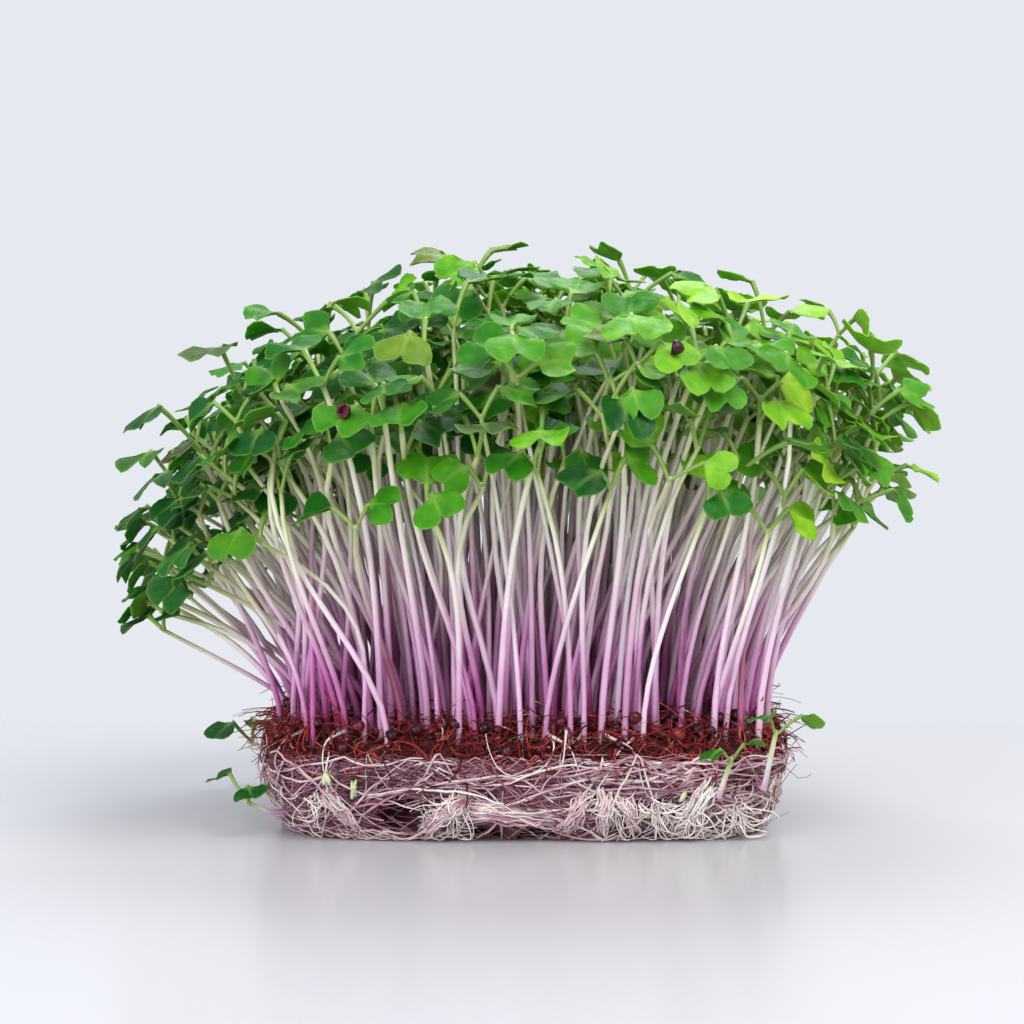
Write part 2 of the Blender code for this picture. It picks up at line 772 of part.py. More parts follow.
def main():
    clear_scene()
    rng = np.random.default_rng(SEED)
    felt = make_material("root_felt", (0.62, 0.42, 0.40), 0.85)
    coir = make_material("coir", (0.22, 0.05, 0.035), 0.9)
    green = make_material("seedling", (0.20, 0.42, 0.06), 0.5)
    sprouts = draw_sprouts(rng)
    bunches = bunch_layout(rng)
    grow_bed(bunches, sprouts, rng)
    build_root_mat(felt, rng)
    build_medium(bunches, coir, rng)
    for number, bunch in enumerate(bunches, start=1):
        build_bunch(f"seedlings_{number:02d}", bunch, green)
    for name, (points, leaves) in sprouts.items():
        finish(grow_seedling(name, points, leaves), green)


main()
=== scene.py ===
import json
import math

import bmesh
import bpy
import numpy as np
from mathutils import Euler, Matrix, Vector, noise
from mathutils.kdtree import KDTree

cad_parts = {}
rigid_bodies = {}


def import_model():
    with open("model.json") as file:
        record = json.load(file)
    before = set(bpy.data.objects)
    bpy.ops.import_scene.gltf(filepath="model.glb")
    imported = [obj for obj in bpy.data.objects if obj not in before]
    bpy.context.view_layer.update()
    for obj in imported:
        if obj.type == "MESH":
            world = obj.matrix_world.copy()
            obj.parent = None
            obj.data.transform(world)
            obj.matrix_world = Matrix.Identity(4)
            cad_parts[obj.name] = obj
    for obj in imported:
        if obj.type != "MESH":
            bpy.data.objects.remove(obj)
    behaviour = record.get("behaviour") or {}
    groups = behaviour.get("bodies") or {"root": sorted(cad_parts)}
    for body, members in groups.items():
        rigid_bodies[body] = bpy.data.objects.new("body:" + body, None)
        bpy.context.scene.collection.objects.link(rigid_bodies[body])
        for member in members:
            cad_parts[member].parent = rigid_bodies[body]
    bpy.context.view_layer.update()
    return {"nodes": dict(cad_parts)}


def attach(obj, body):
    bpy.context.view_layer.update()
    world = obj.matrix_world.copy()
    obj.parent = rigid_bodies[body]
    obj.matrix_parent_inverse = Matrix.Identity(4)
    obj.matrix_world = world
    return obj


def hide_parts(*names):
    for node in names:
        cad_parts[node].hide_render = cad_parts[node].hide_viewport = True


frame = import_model()
up = np.array((0.0, 0.0, 1.0))
fullTurn = 2 * math.pi


# Camera, light and table

camera = {
    "place": (-0.0025, -0.426, 0.064),  # level, in front of the block
    "focalLength": 69.5,  # mm, on a 36 mm sensor
    "sensorWidth": 36.0,
}
studio = {
    "skyColour": (0.795, 0.815, 0.875),
    "skyLight": 0.82,  # the share of the backdrop's brightness that lights the block
    "aim": (0.0, 0.0, 0.06),
    # place, power, size and colour of each lamp
    "keyLight": ((0.45, -0.60, 0.95), 12.5, 0.90, (1.0, 0.96, 0.90)),
    "fillLight": ((-0.60, -0.80, 0.35), 7.0, 0.80, (0.96, 0.94, 1.0)),
    "backLight": ((0.10, 0.55, 1.00), 6.5, 0.60, (1.0, 1.0, 1.0)),
}
table = {
    "half": 1.6, "front": -1.3, "back": 0.185,
    "fade": 0.020,  # how far the far edge takes to melt into the backdrop
    "colour": (0.525, 0.535, 0.565), "roughness": 0.24,
}


def linkObject(name, data):
    thing = bpy.data.objects.new(name, data)
    bpy.context.scene.collection.objects.link(thing)
    return thing


def feed(tree, socket, value):
    # A socket takes a link or a plain value
    if isinstance(value, bpy.types.NodeSocket):
        tree.links.new(value, socket)
    else:
        socket.default_value = value


def addNode(tree, kind, inputs=(), output=0, **settings):
    # A node with its settings and inputs, which gives one of its outputs
    node = tree.nodes.new(kind)
    for name, value in settings.items():
        setattr(node, name, value)
    for key, value in dict(inputs).items():
        feed(tree, node.inputs[key], value)
    return node.outputs[output]


def placeCamera():
    bpy.context.scene.view_settings.view_transform = "Standard"
    lens = bpy.data.cameras.new("camera")
    lens.lens = camera["focalLength"]
    lens.sensor_width = camera["sensorWidth"]
    lens.clip_start = 0.01
    holder = linkObject("camera", lens)
    holder.location = camera["place"]
    holder.rotation_euler = (math.pi / 2, 0.0, 0.0)
    bpy.context.scene.camera = holder


def lightStudio():
    world = bpy.data.worlds.new("studio")
    world.use_nodes = True
    tree = world.node_tree
    sky = tree.nodes["Background"]
    sky.inputs["Color"].default_value = (*studio["skyColour"], 1.0)
    rays = addNode(tree, "ShaderNodeLightPath", output="Is Camera Ray")
    levels = {"Value": rays, "To Min": studio["skyLight"], "To Max": 1.0}
    strength = addNode(tree, "ShaderNodeMapRange", levels)
    feed(tree, sky.inputs["Strength"], strength)
    bpy.context.scene.world = world
    for name in ("keyLight", "fillLight", "backLight"):
        place, power, size, colour = studio[name]
        lamp = bpy.data.lights.new(name, "AREA")
        lamp.shape = "DISK"
        lamp.energy = power
        lamp.size = size
        lamp.color = colour
        holder = linkObject(name, lamp)
        holder.location = place
        holder.rotation_euler = (Vector(studio["aim"]) - Vector(place)).to_track_quat("-Z", "Y").to_euler()


def makeTable():
    mesh = bpy.data.meshes.new("table")
    corners = [(side * table["half"], table[end], 0.0)
               for side, end in ((-1, "front"), (1, "front"), (1, "back"), (-1, "back"))]
    mesh.from_pydata(corners, [], [(0, 1, 2, 3)])
    paint = bpy.data.materials.new("tableTop")
    paint.use_nodes = True
    tree = paint.node_tree
    place = addNode(tree, "ShaderNodeTexCoord", output="Object")
    depth = addNode(tree, "ShaderNodeSeparateXYZ", {"Vector": place}, "Y")
    fade = addNode(tree, "ShaderNodeMapRange", {
        "Value": depth, "From Min": table["back"] - table["fade"], "From Max": table["back"],
        "To Min": 1.0, "To Max": 0.0}, interpolation_type="SMOOTHSTEP")
    looks = {"Base Color": (*table["colour"], 1.0), "Roughness": table["roughness"], "Alpha": fade}
    for name, value in looks.items():
        feed(tree, tree.nodes["Principled BSDF"].inputs[name], value)
    mesh.materials.append(paint)
    return linkObject("table", mesh)


# Node helpers

def newTree(name, sockets):
    tree = bpy.data.node_groups.new(name, "GeometryNodeTree")
    tree.interface.new_socket("Geometry", in_out="INPUT", socket_type="NodeSocketGeometry")
    for label, kind in sockets:
        tree.interface.new_socket(label, in_out="INPUT", socket_type="NodeSocket" + kind)
    tree.interface.new_socket("Geometry", in_out="OUTPUT", socket_type="NodeSocketGeometry")
    return tree, tree.nodes.new("NodeGroupInput"), tree.nodes.new("NodeGroupOutput")


def addMath(tree, operation, *values):
    return addNode(tree, "ShaderNodeMath", enumerate(values), operation=operation)


def addField(tree, name, kind="FLOAT"):
    return addNode(tree, "GeometryNodeInputNamedAttribute", {"Name": name}, data_type=kind)


def finishTree(tree, geometry, group, output):
    # Every tree ends in Realize Instances and Set Material
    smooth = addNode(tree, "GeometryNodeSetShadeSmooth", {"Geometry": geometry, "Shade Smooth": True})
    whole = addNode(tree, "GeometryNodeRealizeInstances", {"Geometry": smooth})
    paint = addNode(tree, "GeometryNodeSetMaterial", {"Geometry": whole, "Material": group.outputs["Finish"]})
    feed(tree, output.inputs["Geometry"], paint)
    return tree


def makeTubeTree():
    # Lines become round tubes, as thick as their girth attribute says
    tree, group, output = newTree("roundTubes", [("Sides", "Int"), ("Girth", "Float"), ("Finish", "Material")])
    girth = addMath(tree, "MULTIPLY", addField(tree, "girth"), group.outputs["Girth"])
    curve = addNode(tree, "GeometryNodeMeshToCurve", {"Mesh": group.outputs["Geometry"]})
    curve = addNode(tree, "GeometryNodeSetCurveRadius", {"Curve": curve, "Radius": girth})
    ring = {"Resolution": group.outputs["Sides"], "Radius": 1.0}
    ring = addNode(tree, "GeometryNodeCurvePrimitiveCircle", ring)
    tube = addNode(tree, "GeometryNodeCurveToMesh", {"Curve": curve, "Profile Curve": ring, "Fill Caps": True})
    if "Scale" in tube.node.inputs:
        feed(tree, tube.node.inputs["Scale"], girth)
    return finishTree(tree, tube, group, output)


def addScatter(tree, group):
    # One of the collection's shapes on each point, turned and sized by attributes
    shapes = addNode(tree, "GeometryNodeCollectionInfo", {
        "Collection": group.outputs["Shapes"], "Separate Children": True, "Reset Children": True})
    return addNode(tree, "GeometryNodeInstanceOnPoints", {
        "Points": group.outputs["Geometry"], "Instance": shapes, "Pick Instance": True,
        "Instance Index": addField(tree, "kind", "INT"), "Rotation": addField(tree, "turn", "FLOAT_VECTOR"),
        "Scale": addField(tree, "size", "FLOAT_VECTOR")})


def makeScatterTree():
    tree, group, output = newTree("scatteredShapes", [("Shapes", "Collection"), ("Finish", "Material")])
    return finishTree(tree, addScatter(tree, group), group, output)


def makeBladeTree():
    # Leaf blades on points, then each one cupped, drooped, waved and ruffled along its own normal
    sockets = [("Shapes", "Collection"), ("Ruffle", "Float"), ("Finish", "Material")]
    tree, group, output = newTree("leafBlades", sockets)
    names = ("along", "across", "edge", "cup", "droop", "wave", "phase", "reach")
    along, across, edge, cup, droop, wave, phase, reach = (addField(tree, name) for name in names)

    def times(first, second):
        return addMath(tree, "MULTIPLY", first, second)

    def plus(first, second):
        return addMath(tree, "ADD", first, second)

    bowl = times(cup, addMath(tree, "POWER", across, 2.0))
    fall = times(droop, addMath(tree, "POWER", along, 2.0))
    swing = times(wave, addMath(tree, "SINE", times(across, leafRule["waveTurns"])))
    frill = times(addMath(tree, "SINE", plus(times(across, leafShape["ruffleTurns"]), phase)),
                  times(addMath(tree, "POWER", edge, 3.0), group.outputs["Ruffle"]))
    height = times(plus(plus(bowl, fall), plus(swing, frill)), reach)
    facing = addField(tree, "facing", "FLOAT_VECTOR")
    lift = addNode(tree, "ShaderNodeVectorMath", {0: facing, "Scale": height}, operation="SCALE")
    whole = addNode(tree, "GeometryNodeRealizeInstances", {"Geometry": addScatter(tree, group)})
    moved = addNode(tree, "GeometryNodeSetPosition", {"Geometry": whole, "Offset": lift})
    return finishTree(tree, moved, group, output)


# Mesh helpers

def bakeModifiers(thing):
    graph = bpy.context.evaluated_depsgraph_get()
    graph.update()
    mesh = bpy.data.meshes.new_from_object(thing.evaluated_get(graph))
    thing.modifiers.clear()
    old = thing.data
    thing.data = mesh
    bpy.data.meshes.remove(old)
    mesh.name = thing.name


def runTree(thing, tree, values):
    # The inputs are set by their identifiers, and the result becomes a plain mesh
    modifier = thing.modifiers.new(tree.name, "NODES")
    modifier.node_group = tree
    for item in tree.interface.items_tree:
        if item.in_out == "INPUT" and item.name in values:
            modifier[item.identifier] = values[item.name]
    bakeModifiers(thing)


def storeField(mesh, name, kind, values):
    field = mesh.attributes.new(name, kind, "POINT")
    values = np.asarray(values, np.float32 if kind != "INT" else np.int32)
    field.data.foreach_set("vector" if kind == "FLOAT_VECTOR" else "value", values.ravel())


def meshFrom(shape, name):
    mesh = bpy.data.meshes.new(name)
    shape.to_mesh(mesh)
    shape.free()
    return mesh


def thread(points, girth, tone, rise=0.0, blush=0.0):
    # One line to turn into a tube, with its values at each point or for all of them
    return {"points": np.array(points), "girth": girth, "rise": rise, "tone": tone, "blush": blush}


def toneNear(rng, middle, spread):
    return float(np.clip(rng.normal(middle, spread), 0, 1))


def makeTubes(name, lines, sides, finish):
    mesh = bpy.data.meshes.new(name)
    counts = [len(line["points"]) for line in lines]
    starts = np.cumsum([0] + counts)
    edges = [(start + i, start + i + 1) for start, count in zip(starts, counts) for i in range(count - 1)]
    mesh.from_pydata(np.concatenate([line["points"] for line in lines]).tolist(), edges, [])
    for field in ("girth", "rise", "tone", "blush"):
        values = [np.broadcast_to(line[field], count) for line, count in zip(lines, counts)]
        storeField(mesh, field, "FLOAT", np.concatenate(values))
    thing = linkObject(name, mesh)
    runTree(thing, tubeTree, {"Sides": sides, "Girth": 1.0, "Finish": finish})
    print(name, len(lines), "lines", len(thing.data.polygons), "faces")
    return thing


def makeScatter(name, spots, shapes, tree, values):
    # Each spot has a place, a turn, a size and other values that the tree or the finish reads
    mesh = bpy.data.meshes.new(name)
    mesh.from_pydata([tuple(spot["place"]) for spot in spots], [], [])
    for field, first in spots[0].items():
        if field != "place":
            kind = "INT" if field == "kind" else "FLOAT_VECTOR" if np.ndim(first) else "FLOAT"
            storeField(mesh, field, kind, [spot[field] for spot in spots])
    thing = linkObject(name, mesh)
    group = bpy.data.collections.new(name + "Shapes")
    bpy.context.scene.collection.children.link(group)
    for i, shape in enumerate(shapes):
        group.objects.link(bpy.data.objects.new(f"{name}{i}", shape))
    runTree(thing, tree, {"Shapes": group, **values})
    dropCollection(group)
    print(name, len(spots), "spots", len(thing.data.polygons), "faces")
    return thing


def dropCollection(group):
    for thing in list(group.objects):
        bpy.data.objects.remove(thing, do_unlink=True)
    bpy.data.collections.remove(group)


# Finishes

def makePatchGroup():
    # Soft patches and a fine grain that several finishes use
    tree = bpy.data.node_groups.new("grownPatches", "ShaderNodeTree")
    layers = (("Patch Size", "Patches", 2.0), ("Grain Size", "Grain", 3.0))
    for label, result, _ in layers:
        tree.interface.new_socket(label, in_out="INPUT", socket_type="NodeSocketFloat")
        tree.interface.new_socket(result, in_out="OUTPUT", socket_type="NodeSocketFloat")
    group, output = tree.nodes.new("NodeGroupInput"), tree.nodes.new("NodeGroupOutput")
    place = addNode(tree, "ShaderNodeTexCoord", output="Object")
    for label, result, detail in layers:
        scale = addMath(tree, "DIVIDE", 1.0, group.outputs[label])
        cloud = addNode(tree, "ShaderNodeTexNoise", {"Vector": place, "Scale": scale, "Detail": detail}, "Fac")
        cloud = addNode(tree, "ShaderNodeMapRange", {"Value": cloud, "From Min": 0.3, "From Max": 0.7})
        feed(tree, output.inputs[result], cloud)
    return tree


class Finish:
    # A material with its Principled shader, and short ways to wire what feeds it

    def __init__(self, name, roughness, specular, patchSize, grainSize):
        self.material = bpy.data.materials.new(name)
        self.material.use_nodes = True
        self.tree = self.material.node_tree
        self.set("Roughness", roughness)
        self.set("Specular IOR Level", specular)
        sizes = {"Patch Size": patchSize, "Grain Size": grainSize}
        self.patches = addNode(self.tree, "ShaderNodeGroup", sizes, "Patches", node_tree=patchGroup)
        self.grain = self.patches.node.outputs["Grain"]

    def set(self, name, value):
        feed(self.tree, self.tree.nodes["Principled BSDF"].inputs[name], value)

    def field(self, name):
        return addNode(self.tree, "ShaderNodeAttribute", output="Fac", attribute_name=name)

    def math(self, operation, *values):
        return addMath(self.tree, operation, *values)

    def span(self, value, low, high, start=0.0, end=1.0):
        sizes = {"From Min": low, "From Max": high, "To Min": start, "To Max": end}
        return addNode(self.tree, "ShaderNodeMapRange", {"Value": value, **sizes})

    def ramp(self, value, stops):
        colour = addNode(self.tree, "ShaderNodeValToRGB", {"Fac": value})
        band = colour.node.color_ramp
        while len(band.elements) > 1:
            band.elements.remove(band.elements[-1])
        for i, (place, shade) in enumerate(stops):
            stop = band.elements[0] if i == 0 else band.elements.new(place)
            stop.position = place
            stop.color = (*shade, 1.0)
        return colour

    def mix(self, amount, *colours):
        first, second = ((*value, 1.0) if isinstance(value, tuple) else value for value in colours)
        colours = {"Factor": amount, 6: first, 7: second}
        return addNode(self.tree, "ShaderNodeMix", colours, 2, data_type="RGBA")

    def bump(self, height, distance, strength):
        sizes = {"Distance": distance, "Strength": strength}
        self.set("Normal", addNode(self.tree, "ShaderNodeBump", {"Height": height, **sizes}))

    def soften(self, weight, radius, scale):
        for name, value in (("Weight", weight), ("Radius", radius), ("Scale", scale)):
            self.set("Subsurface " + name, value)


def paintLeaf():
    finish = Finish("seedLeaf", 0.42, 0.18, 0.003, 0.0004)
    light = finish.math("ADD", finish.field("tone"), finish.span(finish.patches, 0, 1, -0.10, 0.10))
    # The tone holds painted sunlight and shade besides each leaf's random difference, so this ramp runs from
    # painted shade to sunlit lime
    top = finish.ramp(light, [
        (0.0, (0.003, 0.060, 0.006)), (0.30, (0.012, 0.125, 0.004)),
        (0.60, (0.058, 0.245, 0.005)), (0.85, (0.175, 0.415, 0.012)), (1.0, (0.31, 0.56, 0.03))])
    # The underside is paler: partly its own paler green and partly painted light, standing for light that
    # shines through the blade
    below = finish.ramp(light, [(0.0, (0.020, 0.13, 0.010)), (1.0, (0.25, 0.44, 0.05))])
    green = finish.mix(finish.field("under"), top, below)
    bronze = finish.span(finish.field("blush"), 0.6, 1.0, 0.0, 0.6)
    green = finish.mix(bronze, green, (0.090, 0.028, 0.026))
    middle = finish.math("ABSOLUTE", finish.field("across"))
    rib = finish.math("MULTIPLY", finish.span(middle, 0.02, 0.08, 0.45, 0.0),
                      finish.span(finish.field("along"), 0.15, 0.75, 1.0, 0.0))
    edge = finish.field("edge")
    # A paler rim: partly the blade's own pale edge and partly a painted highlight along it
    rim = finish.span(edge, 0.95, 1.0, 0.0, 0.20)
    base = finish.span(edge, 0.0, 0.36, 0.60, 0.0)
    pale = finish.math("MAXIMUM", finish.math("MAXIMUM", rib, rim), base)
    finish.set("Base Color", finish.mix(pale, green, (0.25, 0.44, 0.08)))
    finish.set("Roughness", finish.span(finish.grain, 0, 1, 0.40, 0.56))
    finish.bump(finish.patches, 0.00035, 0.5)
    finish.soften(0.30, (0.5, 1.0, 0.15), 0.0012)
    return finish.material


def paintStem():
    finish = Finish("stemSkin", 0.36, 0.5, 0.006, 0.0005)
    rise = finish.math("ADD", finish.field("rise"), finish.span(finish.patches, 0, 1, -0.05, 0.05))
    rise = finish.math("MULTIPLY", rise, 0.8)
    tip = (1.0, (0.13, 0.29, 0.03))
    pink = finish.ramp(rise, [
        (0.0, (0.62, 0.42, 0.36)), (0.045, (0.36, 0.045, 0.16)), (0.12, (0.42, 0.060, 0.29)),
        (0.27, (0.60, 0.20, 0.50)), (0.44, (0.80, 0.60, 0.70)), (0.60, (0.84, 0.82, 0.68)),
        (0.74, (0.58, 0.64, 0.32)), (0.82, (0.24, 0.38, 0.07)), tip])
    white = finish.ramp(rise, [
        (0.0, (0.76, 0.62, 0.50)), (0.05, (0.74, 0.50, 0.60)), (0.15, (0.86, 0.66, 0.86)),
        (0.36, (0.95, 0.90, 0.94)), (0.64, (0.90, 0.92, 0.76)), (0.76, (0.60, 0.68, 0.34)),
        (0.84, (0.24, 0.38, 0.07)), tip])
    tone = finish.field("tone")
    skin = finish.mix(finish.field("blush"), white, pink)
    skin = finish.mix(finish.span(tone, 0.0, 0.5, 0.0, 0.12), skin, (0.46, 0.30, 0.24))
    fade = finish.span(rise, 0.30, 0.70, 1.0, 0.0)
    crimson = finish.math("MULTIPLY", finish.span(tone, 0.6, 1.0, 0.0, 0.8), fade)
    finish.set("Base Color", finish.mix(crimson, skin, (0.30, 0.02, 0.09)))
    finish.bump(finish.grain, 0.0001, 0.3)
    finish.soften(0.25, (1.0, 0.6, 0.8), 0.0010)
    return finish.material


tonedFinishes = {
    # roughness, specular, patch and grain sizes, swing of the patches, bump's distance and strength, colours
    "seedCoat": (0.30, 0.3, 0.0012, 0.0002, 0.25, 0.00005, 0.3, [
        (0.0, (0.014, 0.001, 0.004)), (0.55, (0.055, 0.004, 0.010)), (1.0, (0.26, 0.020, 0.022))]),
    "coirBed": (0.85, 0.35, 0.0025, 0.0003, 0.2, 0.0004, 0.8, [
        (0.0, (0.012, 0.002, 0.003)), (0.5, (0.070, 0.008, 0.008)), (1.0, (0.22, 0.030, 0.020))]),
    "coirFibre": (0.5, 0.35, 0.0025, 0.0003, 0.2, 0.0004, 0.8, [
        (0.0, (0.035, 0.003, 0.006)), (0.40, (0.22, 0.010, 0.014)), (0.75, (0.46, 0.033, 0.026)),
        (0.90, (0.60, 0.18, 0.10)), (1.0, (0.78, 0.66, 0.56))]),
    # The mat's body under the threads: the felt's own mauve, darkened as painted shade for the gaps between
    # the threads
    "rootFelt": (0.85, 0.4, 0.003, 0.0003, 0.12, 0.0002, 0.5, [
        (0.0, (0.035, 0.008, 0.014)), (0.5, (0.14, 0.045, 0.06)), (1.0, (0.32, 0.14, 0.13))]),
    "rootThread": (0.5, 0.4, 0.003, 0.0003, 0.12, 0.0002, 0.5, [
        (0.0, (0.15, 0.035, 0.055)), (0.35, (0.34, 0.14, 0.19)), (0.60, (0.56, 0.34, 0.40)),
        (0.80, (0.74, 0.60, 0.58)), (1.0, (0.88, 0.84, 0.78))]),
}


def paintToned(name):
    # The colour follows each piece's own tone, with soft patches over it
    roughness, specular, patchSize, grainSize, swing, distance, strength, colours = tonedFinishes[name]
    finish = Finish(name, roughness, specular, patchSize, grainSize)
    shade = finish.math("ADD", finish.field("tone"), finish.span(finish.patches, 0, 1, -swing, swing))
    finish.set("Base Color", finish.ramp(shade, colours))
    finish.bump(finish.grain, distance, strength)
    if name == "seedCoat":
        finish.set("Coat Weight", 0.06)
    if name == "rootThread":
        finish.soften(0.15, (1.0, 0.6, 0.5), 0.0008)
    return finish.material


# The seedlings' rule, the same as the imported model's, so that each finer seedling stands where its node is

bed = {
    "seed": 44,
    "rows": 7, "columns": 5,
    "rowPitch": 0.0130, "columnPitch": 0.0190, "rowShift": 0.0022,
    "stemsABunch": 3, "stemPitch": 0.0066, "bunchTurn": math.radians(20),
    "half": np.array((0.0450, 0.0395)),
    "mediumTop": 0.0196, "mediumHalf": (0.0520, 0.0450),
    "rootZ": 0.0174,
}
dome = {
    "half": np.array((0.0722, 0.0632)),
    "edge": 1.06, "top": 0.1120, "middleReach": 0.66,
    "sideDrop": 0.23, "sideTilt": 0.075, "frontDrop": 0.17,
    "leafDepth": 0.034, "sideEase": 0.006, "frontEase": 0.014, "depthPower": 1.6,
    "leanPower": 1.6, "leanPowerSpread": 0.25,
    "leanJitter": 0.0045, "jitterStart": 0.8, "jitterGrowth": 1 / 150,
    "bow": 0.0030, "bowScale": 27 / 4,
    "longLean": 0.016, "stemSteps": 3, "forkRise": 0.0010,
}
leafRule = {
    "pairSkew": 0.45, "pairShares": ((0.95, 1.12), (0.80, 1.02)),
    "stalkRise": (0.55, 1.10), "stalkLength": (0.0060, 0.0110),
    "pitch": (-0.45, 0.50), "roll": (-0.35, 0.35),
    "cup": (-0.15, 0.35), "droop": (-0.26, 0.04), "wave": (-0.07, 0.07), "waveTurns": 5.0,
    "middleNod": 0.10, "rimNod": 0.36, "largestFold": 1.25,
}
blade = {
    "size": 0.0094, "spread": 1.17, "power": 0.72,
    "angles": (-75, -50, -23, 0, 23, 50, 75),
    "middle": 0.40, "notchDepth": 0.26, "notchWidth": 0.28,
}
sprouts = {
    "sprout_front_right": ((0.0455, -0.0370, 0.0106), (0.1, -1.0), (0.0480, -0.0465, 0.0210), 0.55),
    "sprout_front": ((0.0370, -0.0385, 0.0092), (0.05, -1.0), (0.0390, -0.0505, 0.0165), 0.50),
    "sprout_left": ((-0.0440, -0.0290, 0.0040), (-1.0, -0.3), (-0.0545, -0.0340, 0.0062), 0.62),
    "sprout_back_left": ((-0.0450, 0.0270, 0.0060), (-1.0, 0.3), (-0.0630, 0.0360, 0.0100), 0.80),
}
sproutRule = {"straight": 0.0070, "spread": 1.20, "nod": 0.25}
room = {"step": 0.0030, "gap": 0.0034, "tries": 700}


def unit(vector):
    return vector / np.linalg.norm(vector)


def levelAxis(azimuth):
    return np.array((math.cos(azimuth), math.sin(azimuth), 0.0))


def bunchBases(rng):
    bases, bunches = [], []
    for row in range(bed["rows"]):
        for column in range(bed["columns"]):
            x = (column - (bed["columns"] - 1) / 2) * bed["columnPitch"] + bed["rowShift"] * (-1) ** row
            y = (row - (bed["rows"] - 1) / 2) * bed["rowPitch"]
            centre = np.array((x, y)) + rng.uniform(-0.0010, 0.0010, 2)
            turn = rng.uniform(-bed["bunchTurn"], bed["bunchTurn"])
            if row in (0, bed["rows"] - 1):
                turn *= 0.35
            along = np.array((math.cos(turn), math.sin(turn)))
            steps = [(k - (bed["stemsABunch"] - 1) / 2) * bed["stemPitch"] for k in range(bed["stemsABunch"])]
            bunches.append([centre + along * step for step in steps])
            bases += bunches[-1]
    return bases, bunches


def drawLeaves(rng, azimuths, tilts, size):
    leaves = []
    for azimuth, (nod, roll), shares in zip(azimuths, tilts, leafRule["pairShares"]):
        rise = rng.uniform(*leafRule["stalkRise"]) - nod / 2
        pitch = rng.uniform(*leafRule["pitch"]) - nod
        leaves.append({
            "azimuth": azimuth,
            "size": blade["size"] * rng.uniform(*shares) * size,
            "rise": rise,
            "length": rng.uniform(*leafRule["stalkLength"]) * size,
            "pitch": max(pitch, rise - leafRule["largestFold"]),
            "roll": rng.uniform(*leafRule["roll"]) + roll,
            "cup": rng.uniform(*leafRule["cup"]),
            "droop": rng.uniform(*leafRule["droop"]),
            "wave": rng.uniform(*leafRule["wave"]),
        })
    return leaves


def drawSeedling(base, rng, looseness, moreNod=0.0):
    spot = base / bed["half"]
    rimward = min(1.0, np.linalg.norm(spot))
    reach = dome["middleReach"] + (1.0 - dome["middleReach"]) * rimward
    tip = spot * reach * dome["half"] + rng.normal(0.0, dome["leanJitter"] * looseness, 2)
    tip *= min(1.0, dome["edge"] / np.linalg.norm(tip / dome["half"]))
    across, along = tip / dome["half"]
    deepest = dome["leafDepth"] - dome["sideEase"] * across ** 2 - dome["frontEase"] * along ** 2
    depth = deepest * rng.uniform() ** dome["depthPower"]
    drop = (dome["sideDrop"] - dome["sideTilt"] * across) * across ** 2 + dome["frontDrop"] * along ** 2
    power = dome["leanPower"] + rng.uniform(-dome["leanPowerSpread"], dome["leanPowerSpread"])
    bow = np.clip(rng.normal(0.0, dome["bow"], 2), -2 * dome["bow"], 2 * dome["bow"])
    outward = math.atan2(tip[1], tip[0])
    first = rng.uniform(0, 2 * math.pi)
    azimuths = (first, first + math.pi + rng.uniform(-leafRule["pairSkew"], leafRule["pairSkew"]))
    nod = leafRule["middleNod"] + (leafRule["rimNod"] + moreNod) * rimward
    tilts = [(nod * math.cos(azimuth - outward), nod * math.sin(azimuth - outward)) for azimuth in azimuths]
    return {
        "base": np.array((base[0], base[1], bed["mediumTop"] + 0.0010)),
        "tip": np.array((tip[0], tip[1], dome["top"] * (1.0 - drop) - depth)),
        "power": power,
        "bow": bow,
        "leaves": drawLeaves(rng, azimuths, tilts, 1.0),
    }


def stemCurve(seedling, t):
    base = seedling["base"]
    t = t[:, None]
    across = (seedling["tip"] - base) * np.array((1.0, 1.0, 0.0))
    rise = (seedling["tip"] - base) * up
    bow = np.append(seedling["bow"], 0.0)
    return base + across * t ** seedling["power"] + rise * t + bow * dome["bowScale"] * t * t * (1.0 - t)


def stemPoints(seedling, steps=None):
    lean = np.linalg.norm((seedling["tip"] - seedling["base"])[:2])
    steps = steps or dome["stemSteps"] + (1 if lean > dome["longLean"] else 0)
    curve = stemCurve(seedling, np.linspace(0.0, 1.0, steps + 1))
    root = np.array((curve[0][0], curve[0][1], bed["rootZ"]))
    return [root] + list(curve)


def bladeAxes(leaf):
    flat = levelAxis(leaf["azimuth"])
    outward = flat * math.cos(leaf["pitch"]) + up * math.sin(leaf["pitch"])
    level = levelAxis(leaf["azimuth"] + math.pi / 2)
    side = level * math.cos(leaf["roll"]) + np.cross(outward, level) * math.sin(leaf["roll"])
    return outward, side, np.cross(outward, side)


def bladeStart(leaf, fork):
    run = levelAxis(leaf["azimuth"]) * math.cos(leaf["rise"])
    return fork + (run + up * math.sin(leaf["rise"])) * leaf["length"]


def bladeReach(angle):
    notch = 1.0 - blade["notchDepth"] * math.exp(-((angle / blade["notchWidth"]) ** 2))
    return math.cos(angle) ** blade["power"] * notch


def bladeOutline():
    points = []
    for degrees in blade["angles"]:
        angle = math.radians(degrees)
        reach = bladeReach(angle)
        points.append((reach * math.cos(angle), reach * math.sin(angle) * blade["spread"]))
    return points


def bladePoint(leaf, start, axes, u, v):
    outward, side, normal = axes
    height = leaf["cup"] * v * v + leaf["droop"] * u * u + leaf["wave"] * math.sin(leafRule["waveTurns"] * v)
    return start + (outward * u + side * v + normal * height) * leaf["size"]


